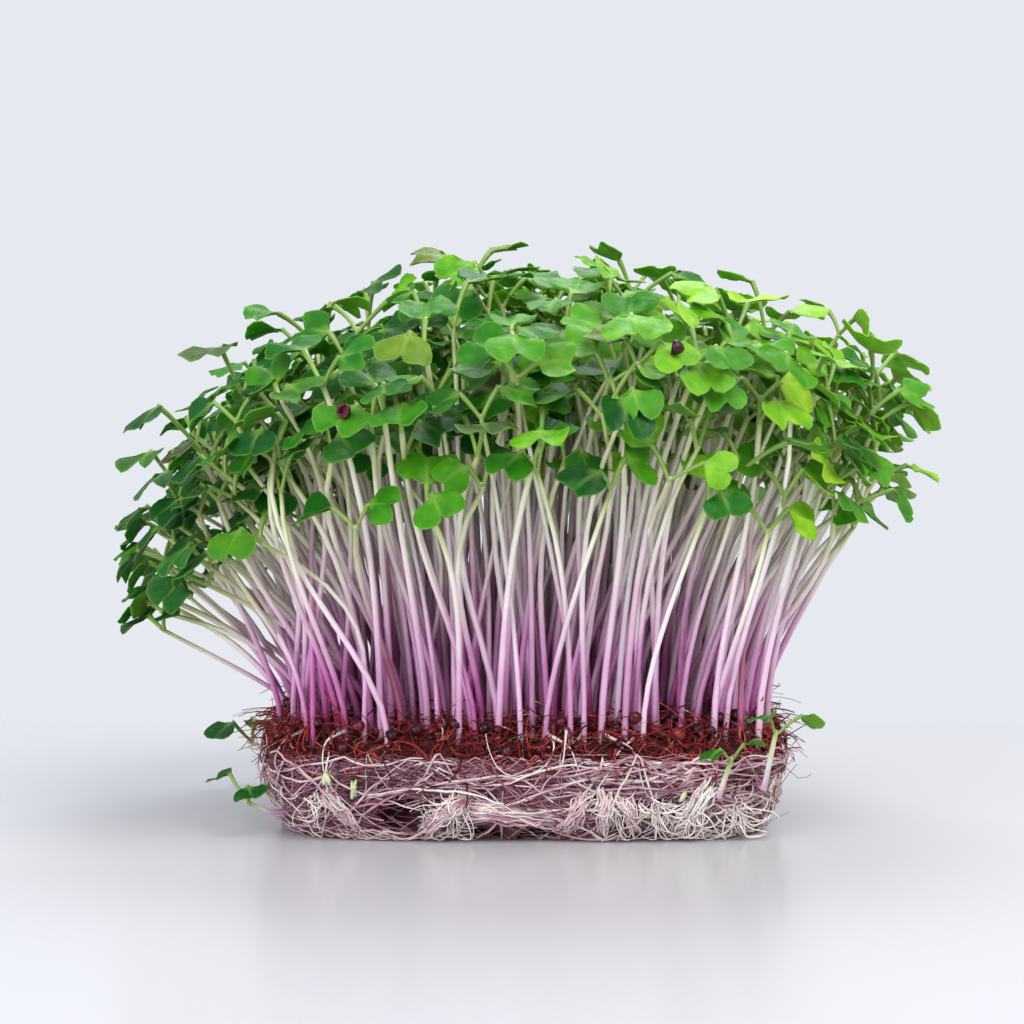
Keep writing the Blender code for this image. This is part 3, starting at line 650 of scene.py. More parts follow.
def seedlingSamples(points, leaves):
    samples = []
    for a, b in zip(points[1:], points[2:]):
        steps = max(1, math.ceil(np.linalg.norm(b - a) / room["step"]))
        samples += [a + (b - a) * (k + 1) / steps for k in range(steps)]
    fork = points[-1]
    outline = bladeOutline()
    for leaf in leaves:
        start = bladeStart(leaf, fork)
        axes = bladeAxes(leaf)
        steps = max(2, math.ceil(leaf["length"] / room["step"]))
        samples += [fork + (start - fork) * k / steps for k in range(1, steps)]
        for share in (1.0, 0.55):
            samples += [bladePoint(leaf, start, axes, u * share, v * share) for u, v in outline]
        samples += [bladePoint(leaf, start, axes, u, 0.0) for u in (0.0, blade["middle"])]
    return samples


def treeOf(points):
    tree = KDTree(len(points))
    for i, point in enumerate(points):
        tree.insert(point, i)
    tree.balance()
    return tree


def drawSprouts(rng):
    drawn = []
    for start, out, tip, size in sprouts.values():
        start = np.array(start)
        out = unit(np.array((*out, 0.0)))
        points = [start, start + out * sproutRule["straight"], np.array(tip)]
        last = points[2] - points[1]
        outward = math.atan2(last[1], last[0])
        azimuths = (outward + sproutRule["spread"], outward - sproutRule["spread"])
        tilts = ((sproutRule["nod"], 0.0), (sproutRule["nod"], 0.0))
        drawn.append((points, drawLeaves(rng, azimuths, tilts, size)))
    return drawn


def growBed(bases, filled, rng):
    # Each seedling is drawn again, more loosely, until it clears all that stand already
    grown = []
    for i in rng.permutation(len(bases)):
        tree = treeOf(filled)
        for attempt in range(room["tries"]):
            seedling = drawSeedling(bases[i], rng, dome["jitterStart"] + dome["jitterGrowth"] * attempt)
            samples = seedlingSamples(stemPoints(seedling), seedling["leaves"])
            if all(tree.find(sample)[2] > room["gap"] for sample in samples):
                grown.append(seedling)
                filled += samples
                break
    return grown


# More seedlings between those, drawn by the same rule with less room

extra = {
    "seed": 71,
    "count": 420,
    "half": np.array((0.0500, 0.0434)),
    "baseGap": 0.0026,
    "tries": 10,
    "gap": 0.0019,
    "looseness": 1.6, "easing": 12,
    "moreNod": 0.30,
    "sink": (0.0035, 0.0035),  # mean and spread of how much lower they stand
    "leafSize": 0.92, "stalkLength": 0.62,
}


def extraBases(taken, rng):
    bases = []
    for attempt in range(20000):
        if len(bases) == extra["count"]:
            break
        base = rng.uniform(-1.0, 1.0, 2)
        if (np.abs(base) ** 5).sum() > 1.0:
            continue
        base = base * extra["half"]
        if min(np.linalg.norm(base - other) for other in taken + bases) > extra["baseGap"]:
            bases.append(base)
    return bases


def growExtra(bases, filled, rng):
    grown = []
    for base in bases:
        tree = treeOf(filled)
        best = None
        for attempt in range(extra["tries"]):
            looseness = extra["looseness"] + attempt / extra["easing"]
            seedling = drawSeedling(base, rng, looseness, extra["moreNod"])
            seedling["tip"][2] -= rng.normal(*extra["sink"])
            for leaf in seedling["leaves"]:
                leaf["size"] *= extra["leafSize"]
                leaf["length"] *= extra["stalkLength"]
            samples = seedlingSamples(stemPoints(seedling), seedling["leaves"])
            clear = min(tree.find(sample)[2] for sample in samples)
            if best is None or clear > best[0]:
                best = (clear, seedling, samples)
            if clear > extra["gap"]:
                break
        grown.append(best[1])
        filled += best[2]
    return grown


# Stems, leaf stalks and blades

stem = {
    "girthFoot": 0.00070, "girthTop": 0.00052, "girthShare": (0.76, 1.06),
    "stalkGirth": 0.00042, "stalkEnd": 0.00066, "stalkArch": 0.22, "fullStalk": 0.008,
    "steps": 9, "stalkSteps": 4, "sides": 6,
    "crimsonShare": 0.035,
}


def forkOf(points):
    return points[-1] + unit(points[-1] - points[-2]) * dome["forkRise"]


def stemLines(points, leaves, rng, pink):
    # The stem, and both stalks arching out of its fork
    points = np.array(points)
    rise = np.linspace(0.0, 1.0, len(points))
    girth = stem["girthFoot"] + (stem["girthTop"] - stem["girthFoot"]) * rise
    girth = girth * rng.uniform(*stem["girthShare"])
    tone = 1.0 if rng.uniform() < stem["crimsonShare"] else rng.uniform(0.0, 0.5)
    fork = forkOf(points)
    girth, rise = np.append(girth, girth[-1] * 0.8), np.append(rise, 1.0)
    lines = [thread(np.vstack([points, fork]), girth, tone, rise, pink)]
    ahead = unit(points[-1] - points[-2])
    t = np.linspace(0.0, 1.0, stem["stalkSteps"] + 1)[:, None]
    for leaf in leaves:
        start = bladeStart(leaf, fork)
        arch = ahead * leaf["length"] * stem["stalkArch"] * t * (1.0 - t) * 1.2
        path = points[-1] + (start - points[-1]) * t + arch
        path = np.vstack([path, start + bladeAxes(leaf)[0] * leaf["size"] * 0.10])
        part = np.append(t[:, 0], 1.0)
        slim = stem["stalkGirth"] + (stem["stalkEnd"] - stem["stalkGirth"]) * part ** 3
        slim[-1] *= 0.35
        lines.append(thread(path, slim * min(1.0, leaf["size"] / stem["fullStalk"]), tone * 0.4,
                            1.02 + 0.22 * part, pink * (1 - part * 0.5)))
    return lines


leafShape = {
    "rows": {0.0: 1.4, 0.55: 1.0, 1.0: 0.60},  # how thick the blade is at each row, middle to rim
    "funnel": (0.15, 0.14),  # the narrow base that runs into the stalk
    "lobeMiddle": (0.54, 0.32), "lobeHalf": (0.36, 0.33),
    "lobeAngles": (146, 114, 82, 50, 18, -14, -46),
    "thickness": 0.00034,
    "notches": (0.74, 0.69, 0.63),
    "spreads": (0.96, 1.02, 1.08),
    "ruffle": 0.070, "ruffleTurns": 9.0,
    "size": 0.93,
    "paintedSunlight": (0.40, 3.9, 4.0, 0.085),  # painted sunlight and shade on the leaves: tone in the middle, gain to the right and upwards, and from which height
}


def bladeRim(notch, spread):
    # The funnel, a round lobe on each side, and the notch between them
    half = [leafShape["funnel"]]
    for angle in np.radians(leafShape["lobeAngles"]):
        u, v = (middle + reach * turn for middle, reach, turn in
                zip(leafShape["lobeMiddle"], leafShape["lobeHalf"], (math.cos(angle), math.sin(angle))))
        half.append((u, v * spread))
    return [(u, -v) for u, v in half] + [(notch, 0.0)] + half[::-1]


def leafMesh(name, notch, spread):
    # A thin closed blade of unit length, whose points know where along, across and near the edge they are
    rows = leafShape["rows"]
    rimPoints = bladeRim(notch, spread)
    spots = [(u * row, v * row, row, face) for face in (1, -1) for row in list(rows)[1:] for u, v in rimPoints]
    spots += [(0.0, 0.0, 0.0, face) for face in (1, -1)]
    thin = leafShape["thickness"] / blade["size"] / 2
    vertices = [(u, v, thin * rows[row] * face) for u, v, row, face in spots]
    count = len(rimPoints)
    low = count * (len(rows) - 1)
    top, bottom = 2 * low, 2 * low + 1
    faces = []
    for i in range(count - 1):
        faces += [(top, i, i + 1), (bottom, low + i + 1, low + i)]
        for a in range(i, low - count, count):
            b = low + a
            faces += [(a, a + count, a + count + 1, a + 1), (b, b + 1, b + count + 1, b + count)]
    rim = [top, *range(0, low, count), *range(low - count + 1, low), *range(low - count - 1, 0, -count)]
    for a, b in zip(rim, rim[1:] + rim[:1]):
        faces.append((b, a, *(bottom if end == top else low + end for end in (a, b))))
    mesh = bpy.data.meshes.new(name)
    mesh.from_pydata(vertices, [], faces)
    shape = bmesh.new()
    shape.from_mesh(mesh)
    bmesh.ops.recalc_face_normals(shape, faces=shape.faces)
    if shape.calc_volume(signed=True) < 0:
        bmesh.ops.reverse_faces(shape, faces=shape.faces)
    for line in shape.edges:
        line.smooth = line.calc_face_angle(0.0) < 0.9
    shape.to_mesh(mesh)
    shape.free()
    along, across, edge, face = zip(*spots)
    under = [0.0 if side > 0 else 1.0 for side in face]
    for field, values in (("along", along), ("across", across), ("edge", edge), ("under", under)):
        storeField(mesh, field, "FLOAT", values)
    return mesh


def leafSpots(points, leaves, rng):
    fork = forkOf(points)
    middle, rightward, upward, level = leafShape["paintedSunlight"]
    spots = []
    for leaf in leaves:
        outward, side, normal = bladeAxes(leaf)
        start = bladeStart(leaf, fork)
        turn = Matrix(np.array((outward, side, normal)).T.tolist()).to_euler()
        # Painted light: a leaf further right or higher up gets a lighter tone, one further left or lower down
        # a darker one, as if lit from the upper right
        paintedSunlight = middle + rightward * start[0] + upward * (start[2] - level)
        bronze = rng.uniform() ** 5
        spots.append({
            "place": start, "turn": tuple(turn), "size": (leaf["size"] * leafShape["size"],) * 3,
            "kind": int(rng.integers(3)), "reach": leaf["size"], "facing": tuple(normal),
            "cup": leaf["cup"], "droop": leaf["droop"], "wave": leaf["wave"],
            "phase": rng.uniform(0, 6.3), "tone": float(np.clip(paintedSunlight + rng.normal(0, 0.20), 0.02, 0.98)),
            "blush": bronze if bronze > 0.6 else 0.0,
        })
    return spots


shoots = (
    # x and height of the foot, lean and length of yellow-green shoots that never left the mat
    (-0.0390, 0.0105, 0.15, 0.0050), (-0.0375, 0.0110, -0.30, 0.0040), (-0.0335, 0.0085, 0.20, 0.0050),
    (-0.0328, 0.0090, -0.15, 0.0040), (0.0412, 0.0075, 0.10, 0.0048), (0.0300, 0.0080, 0.35, 0.0034),
)


def shootLines():
    lines = []
    t = np.linspace(0.0, 1.0, 6)
    for x, z, lean, length in shoots:
        points = [sidePoint(x + lean * length * s, z + length * s * 0.8, 0.0002 + 0.0012 * math.sin(3 * s))
                  for s in t]
        lines.append(thread(points, 0.00055 * np.sin(np.linspace(0.5, 2.8, 6)), 0.0, 0.80 + 0.24 * t))
    return lines


def pinkShare(rng, base):
    # Most stems are pink, and the front ones and those on the right are paler: partly the stems' own colour
    # and partly painted light, where the lamps fall brighter
    return toneNear(rng, 0.80 - 4.5 * base[0] + 5.0 * min(base[1] + 0.01, 0.0), 0.30)


# Root mat

mat = {
    "halfTop": (0.0530, 0.0460), "halfFoot": (0.0475, 0.0405),
    "height": 0.0145, "swell": 0.06, "relief": 0.0009, "cornerPower": 5.0,
    "levels": 22, "points": 280,
    "lump": 0.0008, "lumps": ((150.0, 1.0), (420.0, 0.8), (1100.0, 0.6)), "sunk": 0.0004,
}
footHollows = (
    # middle and half size in mm
    ((-24.0, -41.0, 5.2), (5.0, 8.0, 4.2)),
    ((-9.0, -40.5, 0.0), (5.4, 8.0, 2.4)),
    ((3.0, -40.5, 0.0), (4.6, 9.0, 2.6)),
    ((24.0, -40.5, 0.0), (4.2, 7.0, 2.0)),
    ((-28.0, 40.5, 0.0), (5.5, 8.0, 2.8)),
    ((7.0, 40.5, 0.0), (5.0, 9.0, 3.2)),
    ((-47.5, 8.0, 0.0), (7.0, 5.0, 2.8)),
    ((47.5, -14.0, 0.0), (8.0, 5.2, 3.0)),
)
frontBundles = (
    # x and height of the head and of the foot, bow and radius, in mm
    (36.5, 13.0, 29.5, 1.6, 2.6, 1.6),
    (48.0, 12.4, 47.5, 2.0, 1.4, 1.2),
    (12.0, 9.6, 7.5, 1.2, 2.6, 1.1),
    (15.5, 10.6, 15.5, 1.2, 3.2, 1.3),
    (18.5, 9.8, 22.0, 1.4, 2.6, 1.1),
    (-20.5, 1.4, -11.0, 10.0, 3.0, 1.3),
    (-15.5, 7.0, 8.0, 4.8, 1.8, 1.5),
    (-40.0, 11.6, -32.5, 1.6, 1.8, 1.3),
)
bundle = {
    "steps": 12, "sunk": 0.0016, "arch": 0.7,
    "aSide": 3, "pitch": 0.024, "shift": 0.006, "lean": (0.004, 0.012),
    "head": (0.0100, 0.0126), "foot": (0.0018, 0.0040), "bow": (0.0012, 0.0026), "radius": (0.0011, 0.0015),
    "threads": 44, "wander": 0.00045, "girth": (0.00010, 0.00026),
}


def matHalf(share):
    mix = share + mat["swell"] * math.sin(math.pi * share)
    return tuple(foot + (top - foot) * mix for foot, top in zip(mat["halfFoot"], mat["halfTop"]))


def rimReach(angle, power=5.0):
    return (abs(math.cos(angle)) ** power + abs(math.sin(angle)) ** power) ** (-1.0 / power)


def matPoint(angle, share, proud=0.0):
    # A point on the mat's side, or a little in front of it
    reach = rimReach(angle, mat["cornerPower"])
    half = matHalf(share)
    cornerwise = mat["cornerPower"] - 1.0
    c, s = math.cos(angle) * reach, math.sin(angle) * reach
    waves = math.sin(9 * angle + 5 * share) + 0.7 * math.sin(17 * angle - 7 * share + 1.0)
    grow = mat["relief"] * math.sin(math.pi * share) * waves
    out = [math.copysign(abs(turn) ** cornerwise, turn) / size for turn, size in zip((c, s), half)]
    out = unit(np.array(out))
    x = half[0] * c + grow * math.cos(angle) + out[0] * proud
    y = half[1] * s + grow * math.sin(angle) + out[1] * proud
    return np.array((x, y, share * mat["height"]))


def makeRings(name, rings):
    # A closed solid through the rings, with a flat face at each end
    vertices = [tuple(point) for ring in rings for point in ring]
    count = len(rings[0])
    last = (len(rings) - 1) * count
    faces = [tuple(reversed(range(count))), tuple(range(last, last + count))]
    for start in range(0, last, count):
        for i in range(count):
            a, b = start + i, start + (i + 1) % count
            faces.append((a, b, b + count, a + count))
    mesh = bpy.data.meshes.new(name)
    mesh.from_pydata(vertices, [], faces)
    return linkObject(name, mesh)


def finishRings(thing, finish, middle, swing, fineness):
    thing.data.shade_smooth()
    thing.data.materials.clear()
    thing.data.materials.append(finish)
    tones = [middle + swing * noise.noise(vertex.co * fineness) for vertex in thing.data.vertices]
    storeField(thing.data, "tone", "FLOAT", tones)
    print(thing.name, len(thing.data.polygons), "faces")


def cutHollows(thing):
    group = bpy.data.collections.new("hollows")
    bpy.context.scene.collection.children.link(group)
    for middle, half in footHollows:
        shape = bmesh.new()
        bmesh.ops.create_icosphere(shape, subdivisions=3, radius=0.001)
        shape.transform(Matrix.Translation([0.001 * m for m in middle]) @ Matrix.Diagonal((*half, 1.0)))
        group.objects.link(bpy.data.objects.new("hollow", meshFrom(shape, "hollow")))
    cut = thing.modifiers.new("cut", "BOOLEAN")
    cut.operation = "DIFFERENCE"
    cut.operand_type = "COLLECTION"
    cut.collection = group
    cut.solver = "EXACT"
    bakeModifiers(thing)
    dropCollection(group)


def makeRootMat(finish):
    rings = []
    for level in range(mat["levels"] + 1):
        share = level / mat["levels"]
        edge = min(1.0, 6 * share, 6 * (1 - share))
        ring = []
        for i in range(mat["points"]):
            angle = fullTurn * i / mat["points"]
            point = matPoint(angle, share)
            rough = sum(part * noise.noise(Vector(point) * scale) for scale, part in mat["lumps"])
            ring.append(matPoint(angle, share, mat["lump"] * rough * edge - mat["sunk"]))
        rings.append(ring)
    thing = makeRings("rootMat", rings)
    cutHollows(thing)
    # Its finish is darkened as painted shade for the gaps between the threads
    finishRings(thing, finish, 0.35, 0.5, 300.0)
    return thing


felt = {
    "seed": 12, "wander": 0.13, "rimRise": 0.0034, "strayShare": 0.05, "strayReach": 0.0045,
    "fine": {"count": 2700, "steps": 11, "girth": (0.00005, 0.00012), "length": (0.010, 0.036),
             "proud": (-0.0001, 0.0006), "tone": (0.30, 0.18), "level": 0.24, "top": 1.0},
    "bold": {"count": 520, "steps": 15, "girth": (0.00010, 0.00032), "length": (0.014, 0.045),
             "proud": (0.0002, 0.0012), "tone": (0.62, 0.19), "level": 0.36, "top": 1.0},
    "foot": {"count": 420, "steps": 11, "girth": (0.00006, 0.00020), "length": (0.006, 0.022),
             "proud": (-0.0010, 0.0022), "tone": (0.72, 0.16), "level": 0.35, "top": 0.16},
}
rimAngles = np.linspace(0.0, fullTurn, 721)
rimPlaces = np.array([matPoint(angle, 0.6) for angle in rimAngles])
rimLengths = np.append(0.0, np.cumsum(np.linalg.norm(np.diff(rimPlaces, axis=0), axis=1)))


def sideAt(place, proud, share=1.0):
    # A point on the mat's side, by the length along its rim
    return matPoint(np.interp(place % rimLengths[-1], rimLengths, rimAngles), share, proud)


def sideOrAbove(place, z, proud):
    return sideAt(place, proud, min(1.0, z / mat["height"])) + (0, 0, max(0.0, z - mat["height"]))


def inHollow(point):
    return any(sum(((1000 * point[i] - middle[i]) / (half[i] + 0.3)) ** 2 for i in range(3)) < 1.0
               for middle, half in footHollows)


def sideThreads(rng, sort):
    # Threads wander round the mat's sides, mostly level, over and under each other
    sort = felt[sort]
    lowest = 0.0003
    lines = []
    for _ in range(sort["count"]):
        step = rng.uniform(*sort["length"]) / sort["steps"]
        place = rng.uniform(0.0, rimLengths[-1])
        ceiling = mat["height"] * sort["top"]
        if sort["top"] == 1.0:
            ceiling += felt["rimRise"] * (0.5 + noise.noise(Vector((place * 90.0, 0.0, 3.0))))
        z = rng.uniform(0.0004, ceiling)
        heading = rng.normal(0.0, sort["level"]) + (math.pi if rng.uniform() < 0.5 else 0.0)
        proud = rng.uniform(*sort["proud"])
        turn = rng.normal(0.0, 0.05)
        stray = rng.uniform(0.3, 1.0) * felt["strayReach"] if rng.uniform() < felt["strayShare"] else 0.0
        points = []
        for k in range(sort["steps"] + 1):
            lift = proud + 0.0004 * math.sin(k * 0.9 + place * 900) + stray * (k / sort["steps"]) ** 3
            points.append(sideOrAbove(place, z, lift))
            place += step * math.cos(heading)
            z += step * math.sin(heading)
            if z < lowest or z > ceiling:
                heading = -heading
                z = min(max(z, lowest), ceiling)
            heading += turn + rng.normal(0.0, felt["wander"])
        if sum(inHollow(point) for point in points[2:-2]) > 1:
            continue
        swell = np.sin(np.linspace(0.25, math.pi - 0.25, sort["steps"] + 1)) ** 0.4
        girth = rng.uniform(*sort["girth"]) * swell
        lines.append(thread(points, girth, toneNear(rng, *sort["tone"])))
    return lines


def sidePoint(x, z, proud):
    # A point on the mat's front, by its x and height
    half = matHalf(z / mat["height"])
    reach = (1.0 - abs(x / half[0]) ** mat["cornerPower"]) ** (1.0 / mat["cornerPower"])
    return np.array((x, -half[1] * reach - proud, z))


def turnedToSide(point, quarter):
    x, y, z = point
    for _ in range(quarter):
        x, y = -y, x
    if quarter % 2 == 1:
        x *= mat["halfTop"][0] / mat["halfTop"][1]
        y *= mat["halfTop"][1] / mat["halfTop"][0]
    return np.array((x, y, z))


def bundlePath(start, end, bow, quarter=0):
    path = []
    for i in range(bundle["steps"] + 1):
        t = i / bundle["steps"]
        proud = (bow + bundle["sunk"]) * math.sin(math.pi * t) ** bundle["arch"] - bundle["sunk"]
        x, z = (a + (b - a) * t for a, b in zip(start, end))
        path.append(turnedToSide(sidePoint(x, z, proud), quarter))
    return np.array(path)


def bundlePaths(rng):
    paths = []
    for row in frontBundles:
        x0, z0, x1, z1, bow, radius = (0.001 * value for value in row)
        paths.append((bundlePath((x0, z0), (x1, z1), bow), radius))
    for quarter in (1, 2, 3):
        for i in range(bundle["aSide"]):
            x0 = (i - 1) * bundle["pitch"] + rng.uniform(-bundle["shift"], bundle["shift"])
            x1 = x0 + rng.choice((-1, 1)) * rng.uniform(*bundle["lean"])
            names = ("head", "foot", "bow", "radius")
            head, foot, bow, radius = (rng.uniform(*bundle[name]) for name in names)
            paths.append((bundlePath((x0, head), (x1, foot), bow, quarter), radius))
    return paths


def smoothPath(points, rounds):
    # Each inner point moves halfway to the middle of its neighbours
    points = np.array(points)
    for _ in range(rounds):
        points[1:-1] = points[1:-1] * 0.5 + (points[:-2] + points[2:]) * 0.25
    return points


def softWander(rng, steps, size):
    # A smooth random swing along a thread, in each direction
    t = np.linspace(0.0, 1.0, steps + 1)
    swing = np.zeros((steps + 1, 3))
    for turns in (1.0, 2.3, 4.1):
        wave = np.sin(fullTurn * turns * t[:, None] + rng.uniform(0, 6.3, 3))
        swing += wave * rng.normal(0, size / turns ** 0.7, 3)
    return swing


def bundleThreads(paths, rng):
    # A loose rope of roots along each bundle's path, which fans out at its ends
    lines = []
    for number, (path, radius) in enumerate(paths):
        ahead = np.gradient(path, axis=0)
        out = np.array([unit(np.append(point[:2] / np.array(mat["halfTop"]) ** 2, 0.0)) for point in path])
        side = np.array([unit(np.cross(a, o)) for a, o in zip(ahead, out)])
        t = np.linspace(0.0, 1.0, len(path))
        warmth = 0.90 if number < 2 else rng.uniform(0.66, 0.90)
        for _ in range(bundle["threads"]):
            far = rng.uniform() ** 0.5
            angle = rng.uniform(0, fullTurn) + rng.normal(0.0, 1.1) * t
            wide = radius * (1.0 + 2.2 * np.abs(t - 0.5) ** 2 * rng.uniform(0.2, 2.4))
            sideways = side * (np.cos(angle) * far * wide)[:, None]
            outward = out * (np.sin(angle) * far * radius * 0.7)[:, None]
            points = path + (sideways + outward) + softWander(rng, len(path) - 1, bundle["wander"])
            points[:, 2] = np.maximum(points[:, 2], 0.0004)
            first = int(rng.integers(0, 3))
            last = len(path) - int(rng.integers(0, 3))
            girth = rng.uniform(*bundle["girth"])
            lines.append(thread(points[first:last], girth, toneNear(rng, warmth, 0.10)))
    return lines


tufts = {
    "seed": 5, "steps": 11, "girth": (0.00008, 0.00021), "floor": 0.0005,
    # x and height of the knot, reach, fall from straight down, and number of threads
    "places": (
        (-0.0130, 0.0078, 0.0100, -0.75, 46),
        (0.0165, 0.0085, 0.0085, -0.10, 34),
        (0.0245, 0.0072, 0.0090, 0.25, 40),
        (0.0320, 0.0068, 0.0085, -0.20, 38),
        (0.0405, 0.0070, 0.0090, 0.15, 40),
        (-0.0400, 0.0088, 0.0080, 0.30, 26),
    ),
}


def tuftThreads(rng):
    # Curly white root ends that spring from a knot and fall to the table
    lines = []
    steps = tufts["steps"]
    for x, z, reach, lean, count in tufts["places"]:
        knot = sidePoint(x, z, 0.0012)
        for _ in range(count):
            angle = rng.normal(-math.pi / 2 + lean, 0.75)
            step = reach * rng.uniform(0.4, 1.2) / steps
            bend = rng.normal(0.0, 0.24)
            proud = rng.uniform(0.0, 0.0026)
            point = knot + rng.normal(0.0, 0.0008, 3) * (1.5, 0.4, 1)
            points = []
            for k in range(steps + 1):
                points.append(point + (0, -proud * math.sin(math.pi * min(k / steps * 1.2, 1.0)), 0))
                point = point + np.array((math.cos(angle), 0.15, math.sin(angle))) * step
                angle += bend + rng.normal(0.0, 0.20)
                if point[2] < tufts["floor"]:
                    point[2] = tufts["floor"]
                    angle = 0.15 if math.cos(angle) > 0 else math.pi - 0.15
            girth = rng.uniform(*tufts["girth"]) * np.linspace(1.0, 0.55, steps + 1)
            lines.append(thread(smoothPath(points, 2), girth, toneNear(rng, 0.95, 0.06)))
    return lines


crown = {
    "seed": 8, "reach": 0.0085, "share": 0.45, "footGirth": 0.00050,
    "girth": (0.00012, 0.00030), "length": (0.006, 0.022), "steps": 14, "overSteps": 6,
}


def crownRoots(bases, rng):
    # White roots that leave the outer stems, run over the coir and down the mat's side
    rim = np.array([matPoint(angle, 1.0) for angle in rimAngles])
    lines = []
    for base in bases:
        gaps = np.linalg.norm(rim[:, :2] - base, axis=1)
        nearest = int(np.argmin(gaps))
        if gaps[nearest] > crown["reach"] or rng.uniform() > crown["share"]:
            continue
        foot = np.array((base[0], base[1], bed["mediumTop"] + 0.0016))
        place = rimLengths[nearest] + rng.normal(0.0, 0.0035)
        z = mat["height"] + 0.0010
        heading = -math.pi / 2 + rng.normal(0.0, 1.0)
        step = rng.uniform(*crown["length"]) / crown["steps"]
        over = sideAt(place, 0.0002) + (0, 0, 0.0042)
        sag = rng.normal(0.0, 0.0012, 3)
        points = [foot + (over - foot) * t + sag * math.sin(math.pi * t)
                  for t in np.arange(crown["overSteps"] + 1) / crown["overSteps"]]
        for k in range(crown["steps"]):
            points.append(sideOrAbove(place, z, 0.0009 + 0.0004 * math.sin(k)))
            place += step * math.cos(heading)
            z = max(z + step * math.sin(heading), 0.0006)
            heading += rng.normal(0.0, 0.32)
        girth = rng.uniform(*crown["girth"]) * np.linspace(1.2, 0.40, len(points))
        girth = np.maximum(girth, crown["footGirth"] * np.linspace(1.0, -1.6, len(points)))
        lines.append(thread(smoothPath(points, 4), girth, toneNear(rng, 0.86, 0.09)))
    return lines


# Growing medium, fibres and seeds

coir = {
    "foot": 0.0148, "points": 220, "rings": 32, "bump": 0.0011,
    "lumps": ((190.0, 1.0), (430.0, 0.7), (1000.0, 0.4)),
    # height above the foot and size of each ring of the side
    "side": ((0.0, 0.975), (0.0010, 1.0), (0.0022, 0.995), (0.0034, 0.980), (0.0042, 0.960)),
    "seed": 9, "fibreSteps": 5, "fibreLength": (0.004, 0.013), "pile": 0.0022,
    # number, girth and tone of each sort of loose fibre
    "fibres": (2600, (0.00006, 0.00016), (0.0, 0.90)),
    "chunks": (1500, (0.00014, 0.00030), (0.0, 0.80)),
    "hairs": (500, (0.00004, 0.00008), (0.92, 1.0)),
    "wallCount": 1500, "wallGirth": (0.00008, 0.00030), "wallLength": (0.002, 0.008),
}


def coirHeight(x, y):
    bumps = sum(part * noise.noise(Vector((x, y, 0.0)) * scale) for scale, part in coir["lumps"])
    return bed["mediumTop"] - 0.0004 + coir["bump"] * bumps


def mediumRing(size):
    ring = []
    for i in range(coir["points"]):
        angle = fullTurn * i / coir["points"]
        reach = rimReach(angle)
        ring.append((bed["mediumHalf"][0] * size * reach * math.cos(angle),
                     bed["mediumHalf"][1] * size * reach * math.sin(angle)))
    return ring


def makeMedium(finish):
    rings = []
    for rise, size in coir["side"]:
        z = coir["foot"] + rise
        ring = []
        for x, y in mediumRing(size):
            rough = 1.0 + 0.016 * noise.noise(Vector((x, y, z)) * 500.0)
            ring.append((x * rough, y * rough, z))
        rings.append(ring)
    for level in range(coir["rings"]):
        size = 0.945 * (1.0 - level / coir["rings"]) + 0.01
        rings.append([(x, y, coirHeight(x, y)) for x, y in mediumRing(size)])
    thing = makeRings("growingMedium", rings)
    finishRings(thing, finish, 0.4, 0.7, 700.0)
    return thing


def coirFloor(x, y):
    # The medium's surface, which falls off round its edge
    share = (abs(x / bed["mediumHalf"][0]) ** 5 + abs(y / bed["mediumHalf"][1]) ** 5) ** 0.2
    fall = max(0.0, share - 0.945) / 0.055
    return coirHeight(x, y) - 0.0040 * min(fall, 1.5) ** 1.5 - 0.0001


def bedSpot(rng, edgeward):
    # A place on the medium, more often near its edge when edgeward is low
    angle = rng.uniform(0, fullTurn)
    reach = rng.uniform() ** edgeward * rimReach(angle)
    return np.array(bed["mediumHalf"]) * reach * (math.cos(angle), math.sin(angle))


def coirFibres(rng, count, girths, tones):
    # Bent fibres lie heaped on the medium and hang over its edge, and a few stand up
    lines = []
    taper = np.linspace(1.0, 0.6, coir["fibreSteps"] + 1)
    for _ in range(count):
        x, y = bedSpot(rng, 0.22) * rng.uniform(0.92, 1.03)
        heading = rng.uniform(0, fullTurn)
        climb = rng.normal(0.10, 0.35) if rng.uniform() < 0.92 else rng.uniform(0.6, 1.3)
        step = rng.uniform(*coir["fibreLength"]) * (0.7 if climb > 0.6 else 1.0) / coir["fibreSteps"]
        bend = rng.normal(0.0, 0.30)
        heap = abs(rng.normal(0.0, coir["pile"]))
        point = np.array((x, y, coirFloor(x, y) + heap))
        points = []
        for _ in taper:
            points.append(point)
            flat = levelAxis(heading) * math.cos(climb)
            point = point + step * (flat + up * math.sin(climb))
            heading += bend
            climb -= 0.14
            point[2] = max(point[2], coirFloor(point[0], point[1]) + heap * 0.4)
        lines.append(thread(points, rng.uniform(*girths) * taper, rng.uniform(*tones)))
    return lines


def wallFibres(rng):
    # Fibres felted against the medium's side, between its top and the root mat
    lines = []
    taper = np.linspace(1.0, 0.6, coir["fibreSteps"] + 1)
    for _ in range(coir["wallCount"]):
        place = rng.uniform(0.0, rimLengths[-1])
        z = rng.uniform(coir["foot"] - 0.0006, bed["mediumTop"] + 0.0006)
        heading = rng.uniform(0, fullTurn)
        bend = rng.normal(0.0, 0.30)
        proud = rng.uniform(-0.0012, 0.0008)
        step = rng.uniform(*coir["wallLength"]) / coir["fibreSteps"]
        points = []
        for _ in taper:
            inward = 0.0007 * max(0.0, z - bed["mediumTop"] + 0.001) / 0.001
            points.append(sideAt(place, proud - inward) + (0, 0, z - mat["height"]))
            place += step * math.cos(heading)
            z += step * math.sin(heading)
            heading += bend
        lines.append(thread(points, rng.uniform(*coir["wallGirth"]) * taper, rng.uniform(0.0, 0.85)))
    return lines


